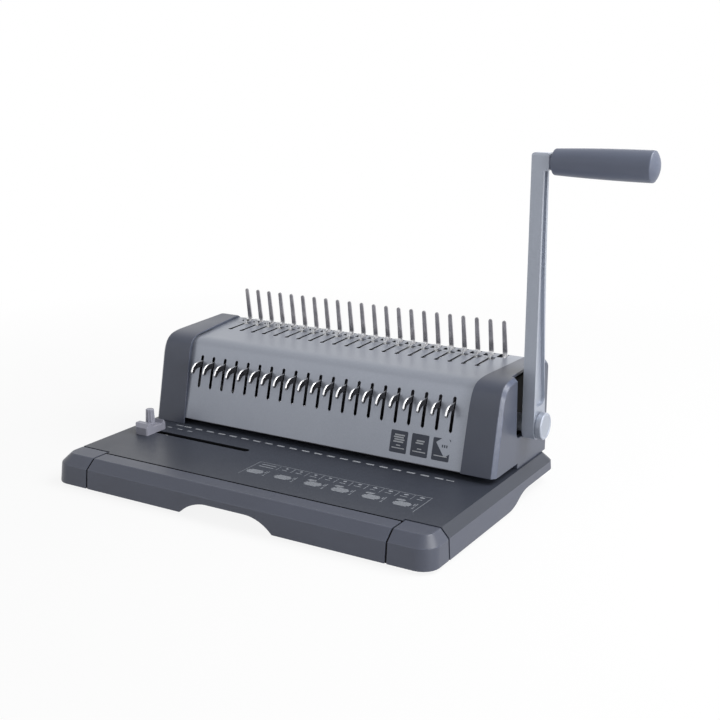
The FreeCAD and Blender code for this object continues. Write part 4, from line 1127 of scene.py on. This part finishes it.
class MACHINE_OT_stage(bpy.types.Operator):
    """White floor and surroundings, soft lamps and the camera"""
    bl_idname = "machine.stage"
    bl_label = "Stage"

    soft_light: number("Soft light", 0.28, "Strength of the even light on the object", min=0.0)
    middle = (0.0, 0.05, 0.1)
    right_edge = (0.14, 0.015, 0.08)

    def seen(self, nodes):
        """One for rays that reach the eye straight, by a mirror or through glass."""
        path = nodes.put("LightPath")
        total = path.outputs["Is Camera Ray"]
        for ray in ("Is Glossy Ray", "Is Transmission Ray"):
            total = nodes.reckon("MAXIMUM", total, path.outputs[ray])
        return total

    def surroundings(self, scene):
        """White to the eye and a soft even light on the object."""
        scene.world = bpy.data.worlds.new("surroundings")
        scene.world.use_nodes = True
        nodes = Nodes(scene.world.node_tree)
        white = (1.0, 1.0, 1.0, 1.0)
        soft = nodes.put("Background", {"Color": white, "Strength": self.soft_light}).outputs[0]
        plain = nodes.put("Background", {"Color": white}).outputs[0]
        mix = nodes.put("MixShader", {0: self.seen(nodes), 1: soft, 2: plain})
        nodes.feed(nodes.tree.nodes["World Output"], {"Surface": mix.outputs[0]})

    def floor(self):
        """White floor that keeps a soft shadow near the machine and runs out into the surroundings."""
        deselect()
        bpy.ops.mesh.primitive_circle_add(vertices=64, radius=8.0, fill_type="NGON",
                                          location=(0, 0, CAD_BOX[0].z - 0.1 * MM))
        floor = bpy.context.object
        floor.name = "floor"
        recipe = Recipe("floor_white", Base_Color=shaded((1.0, 1.0, 1.0), 0.86), Roughness=0.9,
                        Specular_IOR_Level=0.0)
        away = recipe.put("VectorMath", {0: recipe.place}, operation="LENGTH").outputs["Value"]
        share = recipe.times(recipe.spread(away, 0.88, 1.0, 0.4, 1.0), self.seen(recipe))
        glow = recipe.put("Emission")
        mix = recipe.put("MixShader", {0: share, 1: recipe.shader.outputs[0], 2: glow.outputs[0]})
        recipe.feed(recipe.tree.nodes["Material Output"], {"Surface": mix.outputs[0]})
        floor.data.materials.append(recipe.material)

    def lamp(self, name, place, target, size, power):
        """Soft lamp, so wide and so high, that looks at a point."""
        aim = (Vector(target) - Vector(place)).to_track_quat("-Z", "Y").to_euler()
        bpy.ops.object.light_add(type="AREA", location=place, rotation=aim)
        lamp = bpy.context.object
        lamp.name = name
        lamp.data.shape = "RECTANGLE"
        lamp.data.size, lamp.data.size_y = size
        lamp.data.energy = power

    def camera(self, scene):
        """Camera at the view that the machine is shown from."""
        bpy.ops.object.camera_add(location=(0.53745, -0.8789, 0.4002),
                                  rotation=(radians(75.156), 0.0, radians(30.977)))
        camera = bpy.context.object
        camera.data.sensor_width = 36.0
        camera.data.lens = 58.61
        camera.data.clip_start = 0.01
        scene.camera = camera

    def execute(self, context):
        scene = context.scene
        scene.view_settings.view_transform = "Standard"
        self.surroundings(scene)
        self.floor()
        self.lamp("lamp_right", (1.95, 0.1, 0.35), self.middle, (1.6, 1.6), 13.0)
        self.lamp("lamp_top", (0.9, 0.3, 1.3), self.middle, (1.0, 1.0), 21.0)
        self.lamp("lamp_front", (-1.0, -1.6, 0.9), self.middle, (1.4, 1.4), 3.4)
        self.lamp("lamp_edge", (2.05, -0.82, 0.35), self.right_edge, (0.35, 1.0), 11.0)
        self.lamp("lamp_back", (-0.3, 1.75, 0.65), self.middle, (0.5, 0.5), 1.2)
        self.camera(scene)
        return {"FINISHED"}


STEPS = (
    MACHINE_OT_sheet_covers, MACHINE_OT_end_covers, MACHINE_OT_base, MACHINE_OT_arm, MACHINE_OT_grip,
    MACHINE_OT_comb_rows, MACHINE_OT_pulls, MACHINE_OT_guide, MACHINE_OT_feet, MACHINE_OT_screws,
    MACHINE_OT_springs, MACHINE_OT_mechanism, MACHINE_OT_dash_row, MACHINE_OT_deck_table,
    MACHINE_OT_panel_icons, MACHINE_OT_stage,
)


class MACHINE_PT_steps(bpy.types.Panel):
    """List of the pieces and the stage"""
    bl_idname = "MACHINE_PT_steps"
    bl_label = "Comb binding machine"
    bl_space_type = "VIEW_3D"
    bl_region_type = "UI"
    bl_category = "Machine"

    def draw(self, context):
        for step in STEPS:
            self.layout.operator(step.bl_idname)
        for group in (context.scene.machine_sizes, context.scene.machine_colours):
            for name in group.__annotations__:
                self.layout.prop(group, name)


CLASSES = (MachineSizes, MachineColours) + STEPS + (MACHINE_PT_steps,)


def register():
    for kind in CLASSES:
        bpy.utils.register_class(kind)
    bpy.types.Scene.machine_sizes = bpy.props.PointerProperty(type=MachineSizes)
    bpy.types.Scene.machine_colours = bpy.props.PointerProperty(type=MachineColours)


def unregister():
    del bpy.types.Scene.machine_colours
    del bpy.types.Scene.machine_sizes
    for kind in reversed(CLASSES):
        bpy.utils.unregister_class(kind)


def main():
    register()
    for step in STEPS:
        group, action = step.bl_idname.split(".")
        getattr(getattr(bpy.ops, group), action)()


if __name__ == "__main__":
    main()
